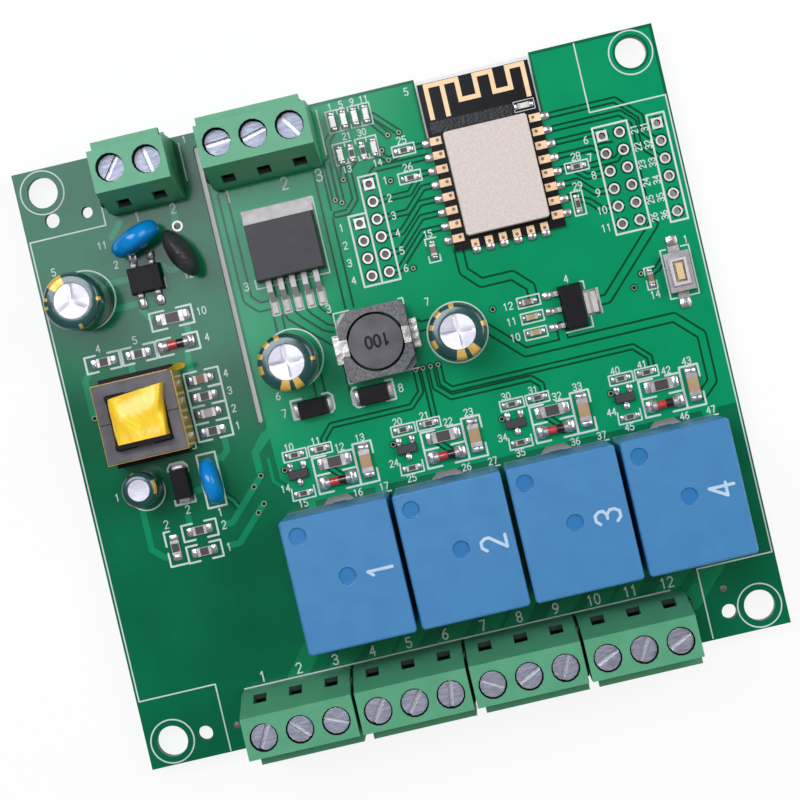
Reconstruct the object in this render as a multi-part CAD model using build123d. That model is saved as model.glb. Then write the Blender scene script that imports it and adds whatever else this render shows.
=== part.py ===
"""Relay module board: a green circuit board with four sealed relays, screw terminals,
an isolated mains supply, a step-down supply, a wireless module and a reset switch.

Millimetres, +Z up. The origin is the centre of the four corner holes, on the underside
of the board. +X runs along the row of relays, +Y towards the antenna edge.
"""
import math
import os

from build123d import *

# Board
board_thickness = 1.6
corner_hole_inset_x = 3.75
corner_hole_inset_y = 3.35
corner_hole_diameter = 4.4
tooling_hole_diameter = 2.1
small_tooling_hole_diameter = 1.6
isolation_slot_width = 0.75
isolation_slot_inset = 2.0
isolation_slot_start = 1.2
antenna_notch_gap = 0.3
antenna_notch_depth = 8.5
tail_length = 2.0
pin_hole_clearance = 0.15

# Sides of the small round forms, which are made as polygons
lead_sides = 8
bore_sides = 6
header_sides = 8
tooling_sides = 16
screw_sides = 16
can_sides = 36
disc_sides = 28

# Pin header rows, left unfitted
header_pitch = 2.54
header_hole_diameter = 1.02

# Relays
relay_count = 4
relay_gap = 0.7
relay_width = 15.1
relay_length = 18.8
relay_height = 15.3
relay_corner_radius = 0.35
relay_foot_height = 0.3
relay_foot_size = 1.2
relay_dimple_diameter = 2.3
relay_dimple_depth = 0.3
relay_pin_width = 1.0
relay_pin_thickness = 0.5
relay_pin_spread = 12.0
relay_common_to_coil = 2.0
relay_coil_to_contact = 12.2
relay_common_inset = 2.3
relay_slot_width = 0.9
relay_slot_half_width = 2.4
relay_slot_reach = 3.2
relay_slot_tail = 1.6
relay_slot_corner = 1.0
relay_slot_offset = 0.3

# Screw terminals
pole_pitch = 5.08
relay_pole_count = 3
supply_pole_count = 3
mains_pole_count = 2
terminal_block_gap = 0.18
terminal_height = 14.0
terminal_end_wall = 0.15
terminal_back = 5.3
terminal_back_shoulder = 5.0
terminal_top_back = 3.1
terminal_top_front = 2.75
terminal_ledge_depth = 4.5
terminal_ledge_height = 8.0
terminal_front_slope = 0.45
terminal_ledge_gap = 0.9
terminal_floor = 1.2
terminal_rib_width = 1.3
terminal_rib_height = 9.5
terminal_rib_reach = 0.3
terminal_rib_inset = 1.4
wire_entry_width = 3.8
wire_entry_height = 5.2
clamp_cavity_width = 4.2
clamp_cavity_back = 2.5
clamp_cavity_height = 7.2
probe_window_width = 1.9
probe_window_height = 3.2
probe_window_sill = 6.2
probe_wall = 1.0
probe_chamber_floor = 3.0
clamp_width = 3.9
clamp_depth = 4.0
clamp_height = 5.6
clamp_wall = 0.6
terminal_pin_width = 1.0
terminal_pin_thickness = 0.8
screw_head_diameter = 3.6
screw_head_height = 1.7
screw_shank_diameter = 2.5
screw_shank_length = 6.2
screw_slot_width = 0.6
screw_slot_depth = 0.7
screw_well_clearance = 0.15
screw_bore_clearance = 0.15
relay_screw_recess = 0.5
supply_screw_recess = 1.5

# Wireless module
module_width = 16.0
module_length = 24.0
module_thickness = 0.8
module_pad_pitch = 2.0
module_side_pads = 8
module_end_pads = 6
module_notch_diameter = 0.8
module_edge_setback = 1.0
module_first_pad = 8.2
can_width = 12.0
can_length = 14.9
can_height = 2.3
can_wall = 0.2
can_corner_cut = 0.3
can_setback = 7.4

# Transformer
core_length = 11.1
core_width = 11.3
core_thickness = 4.75
core_leg_width = 1.65
core_centre_leg_width = 2.5
core_centre_height = 6.6
core_gap = 0.04
bobbin_wall = 0.7
bobbin_fit = 0.1
bobbin_flange_thickness = 0.7
bobbin_flange_height = 8.6
bobbin_rail_overhang = 0.8
bobbin_rail_width = 10.4
bobbin_standoff = 0.4
winding_width = 7.5
winding_height = 8.8
winding_corner_cut = 1.0
tape_thickness = 0.12
tape_width = 4.2
transformer_pin_diameter = 0.6
transformer_pin_pitch = 2.5
transformer_pins_per_side = 4

# Radial capacitors
can_diameter_large = 8.0
can_length_large = 12.2
can_diameter_small = 5.0
can_length_small = 8.4
capacitor_lead_diameter = 0.6
capacitor_lead_pitch_large = 3.5
capacitor_lead_pitch_small = 2.0
capacitor_standoff = 0.3
capacitor_top_recess = 0.2
capacitor_lip_share = 0.37
capacitor_shoulder = 0.6
capacitor_groove_depth = 0.35
capacitor_groove_height = 1.7
capacitor_groove_half = 0.5

# Disc parts
varistor_diameter = 7.4
varistor_thickness = 3.4
varistor_turn = 21.3
thermistor_diameter = 7.7
thermistor_thickness = 3.4
thermistor_turn = -66.5
safety_capacitor_diameter = 6.6
safety_capacitor_thickness = 2.5
safety_capacitor_turn = -86.0
disc_clearance = 1.4
disc_flat_share = 0.55
disc_dome_share = 0.88
disc_rim_share = 0.62
disc_lead_diameter = 0.6
disc_lead_pitch = 5.0

# Power inductor
inductor_size = 10.0
inductor_height = 4.0
inductor_bore = 8.3
inductor_drum_diameter = 7.7
inductor_drum_waist = 4.4
inductor_flange = 0.9
inductor_drum_rise = 0.15
inductor_large_chamfer = 2.0
inductor_small_chamfer = 0.8
inductor_clip_width = 2.4
inductor_foot_width = 4.2
inductor_foot_reach = 1.1
inductor_clip_thickness = 0.2
inductor_clip_tongue = 1.1

# Step-down regulator in a five-lead power package
buck_body_width = 10.0
buck_body_length = 8.3
buck_body_height = 4.4
buck_tab_thickness = 1.3
buck_tab_reach = 1.9
buck_lead_pitch = 1.7
buck_lead_width = 0.8
buck_lead_thickness = 0.5
buck_lead_reach = 4.7
buck_lead_count = 5

# Linear regulator
linear_body_width = 3.4
linear_body_length = 6.4
linear_body_height = 1.7
linear_lead_pitch = 2.3
linear_lead_width = 0.7
linear_tab_width = 3.0
linear_lead_reach = 1.75
linear_lead_thickness = 0.25

# Bridge rectifier
bridge_body_length = 4.8
bridge_body_width = 3.8
bridge_body_height = 2.5
bridge_lead_pitch = 2.54
bridge_lead_width = 0.75
bridge_lead_reach = 1.5
bridge_lead_thickness = 0.25

# Rectifier diodes
diode_body_length = 4.3
diode_body_width = 2.6
diode_body_height = 2.2
diode_lead_width = 1.5
diode_lead_thickness = 0.2
diode_lead_wrap = 0.5

# Reset switch
switch_cover_width = 3.6
switch_cover_length = 5.6
switch_cover_height = 2.0
switch_sheet = 0.15
switch_rim_width = 2.6
switch_rim_length = 4.0
switch_rim_rise = 0.35
switch_base_inset = 0.1
switch_base_wall = 0.35
switch_base_floor = 0.85
switch_dome_diameter = 2.2
switch_dome_rise = 0.25
switch_dome_rim = 0.08
switch_dome_crown = 1.0
switch_lead_width = 1.6
switch_lead_reach = 2.0
switch_lead_thickness = 0.2
button_width = 1.3
button_length = 2.7
button_top = 2.75
button_flange = 0.35
button_flange_thickness = 0.3
button_side_clearance = 0.1
button_play = 0.05

# Small surface parts
chip_0603 = (1.6, 0.8, 0.45)
chip_0805 = (2.0, 1.25, 0.5)
chip_1206 = (3.2, 1.6, 0.6)
tan_chip_size = (3.2, 1.6, 1.2)
small_capacitor_size = (1.6, 0.8, 0.8)
mains_capacitor_size = (2.0, 1.25, 0.85)
indicator_size = (1.6, 0.8, 0.6)
chip_cap_share = 0.22
chip_cap_rise = 0.03
transistor_body = (2.9, 1.3, 1.0)
transistor_lead_pitch = 1.9
transistor_lead_width = 0.42
transistor_lead_reach = 0.6
transistor_lead_thickness = 0.15
glass_diode_diameter = 1.5
glass_diode_length = 3.5
glass_diode_cap = 0.45
glass_diode_waist = 1.3
glass_diode_sides = 10

# Zones of the board, from the mains edge and from the relay edge
mains_zone = 26.4
slot_to_relays = 0.1
relay_row_margin = 3.3
terminal_zone = 12.35
driver_zone = 12.25
supply_zone = 15.5
antenna_zone = 27.9

# The zones give the board its size
relay_pitch = relay_width + relay_gap
relay_row_length = relay_count * relay_pitch
board_length = mains_zone + slot_to_relays + relay_row_length + relay_row_margin
board_width = terminal_zone + relay_length + driver_zone + supply_zone + antenna_zone
corner_hole_spacing_x = board_length - 2 * corner_hole_inset_x
corner_hole_spacing_y = board_width - 2 * corner_hole_inset_y
antenna_notch_width = module_width + 2 * antenna_notch_gap

# Lines that the parts are placed from
left_edge = -board_length / 2
right_edge = board_length / 2
antenna_edge = board_width / 2
relay_edge = -board_width / 2
top = board_thickness
slot_x = left_edge + mains_zone
relay_row_middle = right_edge - relay_row_margin - relay_row_length / 2
relay_row_end = relay_edge + terminal_zone
driver_line = relay_row_end + relay_length
supply_line = driver_line + driver_zone

corner_holes = [(sx * corner_hole_spacing_x / 2, sy * corner_hole_spacing_y / 2)
                for sx in (-1, 1) for sy in (-1, 1)]
tooling_holes = [(left_edge + 4.2, antenna_edge - 7.5), (left_edge + 8.6, relay_edge + 3.4),
                 (right_edge - 8.1, relay_edge + 3.45)]
small_tooling_hole = (left_edge + 9.3, antenna_edge - 7.5)
spare_lead_hole = (left_edge + 21.35, antenna_edge - 12.35)
antenna_notch_x = right_edge - 26.1

header_right = (right_edge - 2.4, antenna_edge - 13.85)
header_double = (header_right[0] - 7.95, header_right[1])
header_inner = (right_edge - 43.88, antenna_edge - 12.85)
header_relay = (header_inner[0] - header_pitch, antenna_edge - 17.95)

terminal_row_y = relay_edge + 2.9
terminal_row_middle = left_edge + 47.28
antenna_terminal_y = antenna_edge - 3.55

module_place = (antenna_notch_x - 0.05, antenna_edge - module_edge_setback - module_length / 2)
transformer_place = (left_edge + 11.0, supply_line + 5.85)
mains_row_y = supply_line + 14.7
bulk_capacitor_place = (left_edge + 6.1, antenna_edge - 19.9)
input_capacitor_place = (slot_x + 6.4, supply_line + 8.6)
output_capacitor_place = (slot_x + 30.15, supply_line + 7.3)
auxiliary_capacitor_place = (left_edge + 8.5, supply_line - 3.95)
varistor_place = (left_edge + 15.7, antenna_edge - 13.15)
thermistor_place = (left_edge + 21.45, antenna_edge - 16.5)
safety_capacitor_place = (left_edge + 18.25, supply_line - 5.1)
inductor_place = (slot_x + 18.7, supply_line + 8.65)
linear_place = (slot_x + 46.85, supply_line + 7.1)
bridge_place = (left_edge + 15.4, antenna_edge - 18.65)
switch_place = (right_edge - 4.2, supply_line + 8.45)

# Diodes: place and turn of each
rectifier_diode_places = [(slot_x + 7.85, supply_line + 1.6, 0), (slot_x + 16.6, supply_line + 1.5, 0),
                          (left_edge + 13.55, supply_line - 4.6, 90)]


def block(x, y, z, length, width, height):
    """A box standing on z, centred on x and y."""
    return Pos(x, y, z) * Box(length, width, height, align=(Align.CENTER, Align.CENTER, Align.MIN))


def rod(x, y, z, diameter, height, sides):
    """A slender bar standing on z, inside its round diameter."""
    return Pos(x, y, z) * extrude(RegularPolygon(diameter / 2, sides), height)


def bore(x, y, z, diameter, height, sides):
    """A cutter for a round hole: its flats stand clear of the full diameter."""
    return Pos(x, y, z) * extrude(RegularPolygon(diameter / 2, sides, major_radius=False), height)


def stack(levels, sides):
    """A round form in short straight lengths, through (radius, height) levels."""
    lengths = []
    for (lower, start), (upper, end) in zip(levels, levels[1:]):
        foot = Pos(0, 0, start) * RegularPolygon(lower, sides)
        if lower == upper:
            lengths.append(extrude(foot, end - start))
        else:
            lengths.append(loft([foot, Pos(0, 0, end) * RegularPolygon(upper, sides)]))
    shape = lengths[0]
    for length in lengths[1:]:
        shape += length
    return shape


def span(count, pitch):
    """Evenly spaced offsets about zero."""
    return [(i - (count - 1) / 2) * pitch for i in range(count)]


def prism_x(points, x, length):
    """A closed outline of (y, z) points, swept along X and centred on x."""
    face = make_face(Plane.YZ * Polyline(*points, close=True))
    return Pos(x - length / 2, 0, 0) * extrude(face, length, dir=(1, 0, 0))


def tail_height():
    return board_thickness + tail_length


def save(name, *solids):
    """Write one node; several solids stay separate in it."""
    shape = solids[0] if len(solids) == 1 else Compound(children=list(solids))
    export_step(shape, f"parts/{name}.step")


def header_holes():
    right = [(header_right[0], header_right[1] - i * header_pitch) for i in range(6)]
    double = [(header_double[0] + j * header_pitch, header_double[1] - i * header_pitch)
              for i in range(6) for j in range(2)]
    inner = [(header_inner[0], header_inner[1] - i * header_pitch) for i in range(6)]
    relay = [(header_relay[0], header_relay[1] - i * header_pitch) for i in range(4)]
    return right + double + inner + relay


def relay_centres():
    y = relay_row_end + relay_length / 2
    return [(relay_row_middle + dx, y) for dx in span(relay_count, relay_pitch)]


def relay_pin_places(centre):
    """Common pin at the antenna end, two coil pins beside it, two contact pins far away."""
    x, y = centre
    y_common = y + relay_length / 2 - relay_common_inset
    y_coil = y_common - relay_common_to_coil
    y_contact = y_coil - relay_coil_to_contact
    half = relay_pin_spread / 2
    return [(x, y_common), (x - half, y_coil), (x + half, y_coil),
            (x - half, y_contact), (x + half, y_contact)]


def terminal_width(poles):
    return poles * pole_pitch + 2 * terminal_end_wall


def supply_terminal_middle():
    return slot_x + 1.18 + terminal_rib_reach + terminal_width(supply_pole_count) / 2


def terminal_blocks():
    """Name, middle, row, pole count, outward side and screw recess of each block."""
    mains_middle = slot_x - 2.97 - terminal_width(mains_pole_count) / 2
    blocks = [("mains", mains_middle, antenna_terminal_y, mains_pole_count, 1, supply_screw_recess),
              ("supply", supply_terminal_middle(), antenna_terminal_y, supply_pole_count, 1,
               supply_screw_recess)]
    pitch = terminal_width(relay_pole_count) + terminal_rib_reach + terminal_block_gap
    for i, dx in enumerate(span(relay_count, pitch)):
        blocks.append((f"relay_{i + 1}", terminal_row_middle + dx, terminal_row_y, relay_pole_count, -1,
                       relay_screw_recess))
    return blocks


def pole_places(middle, y, poles):
    return [(middle + dx, y) for dx in span(poles, pole_pitch)]


def transformer_pin_places():
    x, y = transformer_place
    reach = core_length / 2 + bobbin_rail_overhang - transformer_pin_diameter - 0.2
    return [(x + dx, y + side * reach) for side in (-1, 1)
            for dx in span(transformer_pins_per_side, transformer_pin_pitch)]


def lead_pair(place, pitch, turn=0.0):
    x, y = place
    dx = pitch / 2 * math.cos(math.radians(turn))
    dy = pitch / 2 * math.sin(math.radians(turn))
    return [(x - dx, y - dy), (x + dx, y + dy)]


# Each screw stands where it was last turned to
screw_turns = {"mains": (53, 100), "supply": (5, 14, -56), "relay_1": (63, -46, -25),
               "relay_2": (57, 54, 81), "relay_3": (-29, 26, 66), "relay_4": (23, 63, 24)}

capacitor_cans = [(name, place, can_diameter_large, can_length_large, capacitor_lead_pitch_large)
                  for name, place in (("bulk_capacitor", bulk_capacitor_place),
                                      ("input_capacitor", input_capacitor_place),
                                      ("output_capacitor", output_capacitor_place))]
capacitor_cans.append(("auxiliary_capacitor", auxiliary_capacitor_place, can_diameter_small,
                       can_length_small, capacitor_lead_pitch_small))

disc_parts = [("surge_varistor", varistor_place, varistor_diameter, varistor_thickness, varistor_turn),
              ("inrush_thermistor", thermistor_place, thermistor_diameter, thermistor_thickness,
               thermistor_turn),
              ("safety_capacitor", safety_capacitor_place, safety_capacitor_diameter,
               safety_capacitor_thickness, safety_capacitor_turn)]


def relay_isolation_slot(centre):
    """A milled arch around the common pin, with cut corners."""
    x, y = centre[0] + relay_slot_offset, centre[1] + relay_length / 2 - relay_common_inset
    outer, reach, corner = relay_slot_half_width, relay_slot_reach, relay_slot_corner
    inner = outer - relay_slot_width
    crown = reach - relay_slot_width
    inner_corner = corner * 0.6
    points = [(x - outer, y - relay_slot_tail), (x - outer, y + reach - corner),
              (x - outer + corner, y + reach), (x + outer - corner, y + reach),
              (x + outer, y + reach - corner), (x + outer, y - relay_slot_tail),
              (x + inner, y - relay_slot_tail), (x + inner, y + crown - inner_corner),
              (x + inner - inner_corner, y + crown), (x - inner + inner_corner, y + crown),
              (x - inner, y + crown - inner_corner), (x - inner, y - relay_slot_tail)]
    return make_face(Polyline(*points, close=True))


def circuit_board():
    outline = Rectangle(board_length, board_width)
    notch_middle = antenna_edge - antenna_notch_depth / 2
    outline -= Pos(antenna_notch_x, notch_middle) * Rectangle(antenna_notch_width, antenna_notch_depth)
    slot_start = supply_line + isolation_slot_start
    slot_end = antenna_edge - isolation_slot_inset
    slot = SlotOverall(slot_end - slot_start, isolation_slot_width, rotation=90)
    outline -= Pos(slot_x, (slot_start + slot_end) / 2) * slot
    for centre in relay_centres():
        outline -= relay_isolation_slot(centre)
    holes = [(p, tooling_hole_diameter, tooling_sides) for p in tooling_holes]
    holes += [(small_tooling_hole, small_tooling_hole_diameter, tooling_sides)]
    holes += [(p, header_hole_diameter, header_sides) for p in header_holes()]
    holes += [(spare_lead_hole, header_hole_diameter, header_sides)]
    relay_bore = math.hypot(relay_pin_width, relay_pin_thickness) + 2 * pin_hole_clearance
    holes += [(p, relay_bore, bore_sides) for c in relay_centres() for p in relay_pin_places(c)]
    terminal_bore = math.hypot(terminal_pin_width, terminal_pin_thickness) + 2 * pin_hole_clearance
    holes += [(p, terminal_bore, bore_sides) for _, middle, y, poles, _, _ in terminal_blocks()
              for p in pole_places(middle, y, poles)]
    pin_bore = transformer_pin_diameter + 2 * pin_hole_clearance
    holes += [(p, pin_bore, bore_sides) for p in transformer_pin_places()]
    lead_bore = capacitor_lead_diameter + 2 * pin_hole_clearance
    holes += [(p, lead_bore, bore_sides) for _, place, _, _, pitch in capacitor_cans
              for p in lead_pair(place, pitch)]
    disc_bore = disc_lead_diameter + 2 * pin_hole_clearance
    holes += [(p, disc_bore, bore_sides) for _, place, _, _, turn in disc_parts
              for p in lead_pair(place, disc_lead_pitch, turn)]
    outline -= [Pos(*p) * Circle(corner_hole_diameter / 2) for p in corner_holes]
    outline -= [Pos(*p) * RegularPolygon(d / 2, sides, major_radius=False) for p, d, sides in holes]
    return extrude(outline, board_thickness)


def relay_case(centre):
    """A sealed case with rounded upper edges, two vent dimples and four small feet."""
    x, y = centre
    height = relay_height - relay_foot_height
    case = Box(relay_width, relay_length, height, align=(Align.CENTER, Align.CENTER, Align.MIN))
    case = chamfer(case.edges().filter_by(Axis.Z), relay_corner_radius)
    case = chamfer(case.faces().sort_by(Axis.Z)[-1].edges(), relay_corner_radius * 0.6)
    corner = (-relay_width / 2, relay_length / 2)
    dimples = [(corner[0] + 2.2, corner[1] - 2.5), (corner[0] + 7.6, corner[1] - 9.25)]
    for dx, dy in dimples:
        case -= bore(dx, dy, height - relay_dimple_depth, relay_dimple_diameter, relay_dimple_depth + 1,
                     screw_sides)
    foot_x = relay_width / 2 - relay_corner_radius - relay_foot_size / 2
    foot_y = relay_length / 2 - relay_corner_radius - relay_foot_size / 2
    for sx in (-1, 1):
        for sy in (-1, 1):
            case += block(sx * foot_x, sy * foot_y, -relay_foot_height, relay_foot_size,
                          relay_foot_size, relay_foot_height)
    return Pos(x, y, top + relay_foot_height) * case


def relay_pins(centre):
    height = tail_height() + relay_foot_height
    return [block(x, y, -tail_length, relay_pin_width, relay_pin_thickness, height)
            for x, y in relay_pin_places(centre)]


def place_terminal(shape, middle, y, side):
    """Local +Y points out of the board, towards the wire."""
    turn = 0 if side > 0 else 180
    return Pos(middle, y, top) * Rot(0, 0, turn) * shape


def terminal_housing(poles, recess):
    """One moulded block: stepped front, sloped back, screw wells, wire funnels and probe windows."""
    width = terminal_width(poles)
    outline = [(-terminal_back, 0), (-terminal_back, terminal_back_shoulder),
               (-terminal_top_back, terminal_height), (terminal_top_front, terminal_height),
               (terminal_top_front + terminal_front_slope, terminal_ledge_height),
               (terminal_ledge_depth, terminal_ledge_height), (terminal_ledge_depth, 0)]
    body = prism_x(outline, 0, width)
    ledge_start = terminal_top_front + terminal_front_slope
    ledge_depth = terminal_ledge_depth - ledge_start
    body -= block(width / 2 - terminal_ledge_gap / 2, ledge_start + ledge_depth / 2, -1,
                  terminal_ledge_gap, ledge_depth, terminal_ledge_height + 2)
    for dy in (-terminal_back + terminal_rib_inset, ledge_start - terminal_rib_inset):
        rib = block(-width / 2 - terminal_rib_reach / 2, dy, 0, terminal_rib_reach, terminal_rib_width,
                    terminal_rib_height)
        body += rib
    slope = (terminal_back - terminal_top_back) / (terminal_height - terminal_back_shoulder)
    well_floor = terminal_height - recess - screw_head_height
    well = screw_head_diameter + 2 * screw_well_clearance
    shaft = screw_shank_diameter + 2 * screw_bore_clearance
    for dx in span(poles, pole_pitch):
        body -= bore(dx, 0, well_floor, well, terminal_height, screw_sides)
        body -= bore(dx, 0, terminal_floor, shaft, terminal_height, bore_sides)
        body -= block(dx, (clamp_depth / 2 - clamp_cavity_back) / 2, terminal_floor, clamp_cavity_width,
                      clamp_depth / 2 + clamp_cavity_back, clamp_cavity_height)
        entry_depth = terminal_ledge_depth + 1
        body -= block(dx, entry_depth / 2, terminal_floor, wire_entry_width, entry_depth,
                      wire_entry_height)
        body -= block(dx, 0, -1, terminal_pin_width + 2 * pin_hole_clearance,
                      terminal_pin_thickness + 2 * pin_hole_clearance, terminal_floor + 2)
        window_middle = probe_window_sill + probe_window_height / 2
        window_y = -terminal_back + slope * (window_middle - terminal_back_shoulder)
        window_depth = 2 * (terminal_back - clamp_cavity_back)
        window_top = probe_window_sill + probe_window_height
        chamber_depth = terminal_back - probe_wall - clamp_cavity_back
        body -= block(dx, -clamp_cavity_back - chamber_depth / 2, probe_chamber_floor, probe_window_width,
                      chamber_depth, window_top - probe_chamber_floor)
        body -= block(dx, window_y, probe_window_sill, probe_window_width, window_depth,
                      probe_window_height)
    return body


def terminal_clamp():
    """The cage that grips the wire, with its solder pin."""
    cage = block(0, 0, terminal_floor, clamp_width, clamp_depth, clamp_height)
    cage -= block(0, 0, terminal_floor + clamp_wall, clamp_width - 2 * clamp_wall, clamp_depth + 2,
                  clamp_height - 2 * clamp_wall)
    cage -= bore(0, 0, terminal_floor + clamp_wall, screw_shank_diameter + 2 * screw_bore_clearance,
                 clamp_height, bore_sides)
    pin_length = terminal_floor + tail_height()
    cage += block(0, 0, terminal_floor - pin_length, terminal_pin_width, terminal_pin_thickness, pin_length)
    return cage


def terminal_screw(recess, slot_turn):
    top_z = terminal_height - recess
    head = rod(0, 0, top_z - screw_head_height, screw_head_diameter, screw_head_height, screw_sides)
    slot = block(0, 0, top_z - screw_slot_depth, screw_head_diameter + 1, screw_slot_width, screw_slot_depth + 1)
    shank = rod(0, 0, top_z - screw_head_height - screw_shank_length, screw_shank_diameter,
                screw_shank_length, lead_sides)
    return head - Rot(0, 0, slot_turn) * slot + shank


def module_board():
    x, y = module_place
    outline = Rectangle(module_width, module_length)
    notch = RegularPolygon(module_notch_diameter / 2, header_sides)
    first = module_length / 2 - module_first_pad
    for i in range(module_side_pads):
        for side in (-1, 1):
            outline -= Pos(side * module_width / 2, first - i * module_pad_pitch) * notch
    for dx in span(module_end_pads, module_pad_pitch):
        outline -= Pos(dx, -module_length / 2) * notch
    return Pos(x, y, top) * extrude(outline, module_thickness)


def shield_can():
    x = module_place[0]
    y = module_place[1] + module_length / 2 - can_setback - can_length / 2
    outer = extrude(Rectangle(can_width, can_length), can_height)
    outer = chamfer(outer.edges().filter_by(Axis.Z), can_corner_cut)
    inner = extrude(Rectangle(can_width - 2 * can_wall, can_length - 2 * can_wall), can_height - can_wall)
    inner = chamfer(inner.edges().filter_by(Axis.Z), can_corner_cut)
    outer = chamfer(outer.faces().sort_by(Axis.Z)[-1].edges(), can_wall * 0.6)
    return Pos(x, y, top + module_thickness) * (outer - inner)


def core_half(side):
    """One E of the core: a back yoke with two outer legs and a centre leg."""
    x, y = transformer_place
    half = core_length / 2
    leg = half - core_gap / 2
    z = top + core_centre_height - core_thickness / 2
    shape = block(x, y + side * (half - core_leg_width / 2), z, core_width, core_leg_width, core_thickness)
    for dx, width in ((-(core_width - core_leg_width) / 2, core_leg_width), (0, core_centre_leg_width),
                      ((core_width - core_leg_width) / 2, core_leg_width)):
        shape += block(x + dx, y + side * (half - leg / 2), z, width, leg, core_thickness)
    return shape


def window_length():
    return core_length - 2 * core_leg_width


def bobbin():
    """A square tube on the centre leg, two flanges, and a pin rail under each yoke."""
    x, y = transformer_place
    centre_z = top + core_centre_height
    inner_w = core_centre_leg_width + 2 * bobbin_fit
    inner_h = core_thickness + 2 * bobbin_fit
    length = window_length() - 2 * bobbin_fit
    flange_width = core_width - 2 * core_leg_width - 2 * bobbin_fit
    rail_top = centre_z - core_thickness / 2
    shape = block(x, y, centre_z - inner_h / 2 - bobbin_wall, inner_w + 2 * bobbin_wall, length,
                  inner_h + 2 * bobbin_wall)
    for side in (-1, 1):
        flange_y = y + side * (length - bobbin_flange_thickness) / 2
        shape += block(x, flange_y, centre_z - bobbin_flange_height / 2, flange_width,
                       bobbin_flange_thickness, bobbin_flange_height)
        rail_outer = core_length / 2 + bobbin_rail_overhang
        rail_depth = rail_outer - length / 2 + bobbin_flange_thickness
        shape += block(x, y + side * (rail_outer - rail_depth / 2), top + bobbin_standoff,
                       bobbin_rail_width, rail_depth, rail_top - top - bobbin_standoff)
    shape -= block(x, y, centre_z - inner_h / 2, inner_w, core_length + 2, inner_h)
    return shape


def winding():
    x, y = transformer_place
    centre_z = top + core_centre_height
    length = window_length() - 2 * bobbin_fit - 2 * bobbin_flange_thickness
    tube_w = core_centre_leg_width + 2 * bobbin_fit + 2 * bobbin_wall
    tube_h = core_thickness + 2 * bobbin_fit + 2 * bobbin_wall
    outline = chamfer(Rectangle(winding_width, winding_height).vertices(), winding_corner_cut)
    outline -= Rectangle(tube_w, tube_h)
    plane = Plane((x, y - length / 2, centre_z), x_dir=(1, 0, 0), z_dir=(0, 1, 0))
    return extrude(plane * outline, length)


def core_tape():
    """A turn of tape around the outside of the two core halves."""
    x, y = transformer_place
    z = top + core_centre_height - tape_width / 2
    outer = block(x, y, z, core_width + 2 * tape_thickness, core_length + 2 * tape_thickness, tape_width)
    return outer - block(x, y, z - 1, core_width, core_length, tape_width + 2)


def transformer_pins():
    height = tail_height() + bobbin_standoff
    return [rod(x, y, -tail_length, transformer_pin_diameter, height, lead_sides)
            for x, y in transformer_pin_places()]


def capacitor_can(place, diameter, length):
    """A sleeved can: crimped groove above the bung, sloped shoulder and sleeve lip at the top."""
    r = diameter / 2
    groove = capacitor_groove_height
    levels = [(r, capacitor_standoff), (r, groove - capacitor_groove_half),
              (r - capacitor_groove_depth, groove), (r, groove + capacitor_groove_half),
              (r, length - capacitor_shoulder), (r - capacitor_shoulder, length)]
    can = stack(levels, can_sides)
    can -= rod(0, 0, length - capacitor_top_recess, diameter * (1 - capacitor_lip_share), 1, can_sides)
    return Pos(place[0], place[1], top) * can


def disc_body(place, diameter, thickness, turn):
    """A dipped disc standing on edge: full round face, domed on both sides."""
    r = diameter / 2
    half = thickness / 2
    levels = [(r * disc_flat_share, -half), (r * disc_dome_share, -half * disc_rim_share), (r, 0),
              (r * disc_dome_share, half * disc_rim_share), (r * disc_flat_share, half)]
    lens = Rot(0, 90, 0) * stack(levels, disc_sides)
    return Pos(place[0], place[1], top + disc_clearance + r) * Rot(0, 0, turn + 90) * lens


def disc_leads(place, diameter, thickness, turn):
    """Two straight leads that end at the rim of the disc."""
    r = diameter / 2
    drop = r - math.sqrt(r * r - (disc_lead_pitch / 2) ** 2)
    height = tail_height() + disc_clearance + drop
    body = disc_body(place, diameter, thickness, turn)
    leads = []
    for x, y in lead_pair(place, disc_lead_pitch, turn):
        lead = rod(x, y, -tail_length, disc_lead_diameter, height + 1.0, lead_sides) - body
        leads.append(lead.solids().sort_by(Axis.Z)[0])
    return leads


def inductor_shield():
    x, y = inductor_place
    half = inductor_size / 2
    big, small = inductor_large_chamfer, inductor_small_chamfer
    outline = make_face(Polyline((-half + small, -half), (half - big, -half), (half, -half + big),
                                 (half, half - small), (half - small, half), (-half + big, half),
                                 (-half, half - big), (-half, -half + small), close=True))
    outline -= Circle(inductor_bore / 2)
    shield = extrude(outline, inductor_height)
    for side in (-1, 1):
        shield -= block(side * half, 0, -1, 2 * inductor_clip_thickness, inductor_clip_width + 0.2,
                        inductor_height + 2)
    return Pos(x, y, top) * shield


def inductor_drum():
    r, waist, flange = inductor_drum_diameter / 2, inductor_drum_waist / 2, inductor_flange
    height = inductor_height + inductor_drum_rise
    outline = [(0, 0), (r, 0), (r, flange), (waist, flange), (waist, height - flange),
               (r, height - flange), (r, height), (0, height)]
    face = make_face(Plane.XZ * Polyline(*outline, close=True))
    return Pos(inductor_place[0], inductor_place[1], top) * revolve(face, Axis.Z)


def inductor_clip(side):
    """A foot on the board, a riser up the shield and a tongue over its rim."""
    x, y = inductor_place
    half = inductor_size / 2
    t = inductor_clip_thickness
    clip = block(side * (half - t / 2), 0, 0, t, inductor_clip_width, inductor_height + t)
    clip += block(side * (half + inductor_foot_reach / 2), 0, 0, inductor_foot_reach,
                  inductor_foot_width, t)
    clip += block(side * (half - inductor_clip_tongue / 2), 0, inductor_height, inductor_clip_tongue,
                  inductor_clip_width, t)
    return Pos(x, y, top) * clip


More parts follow.
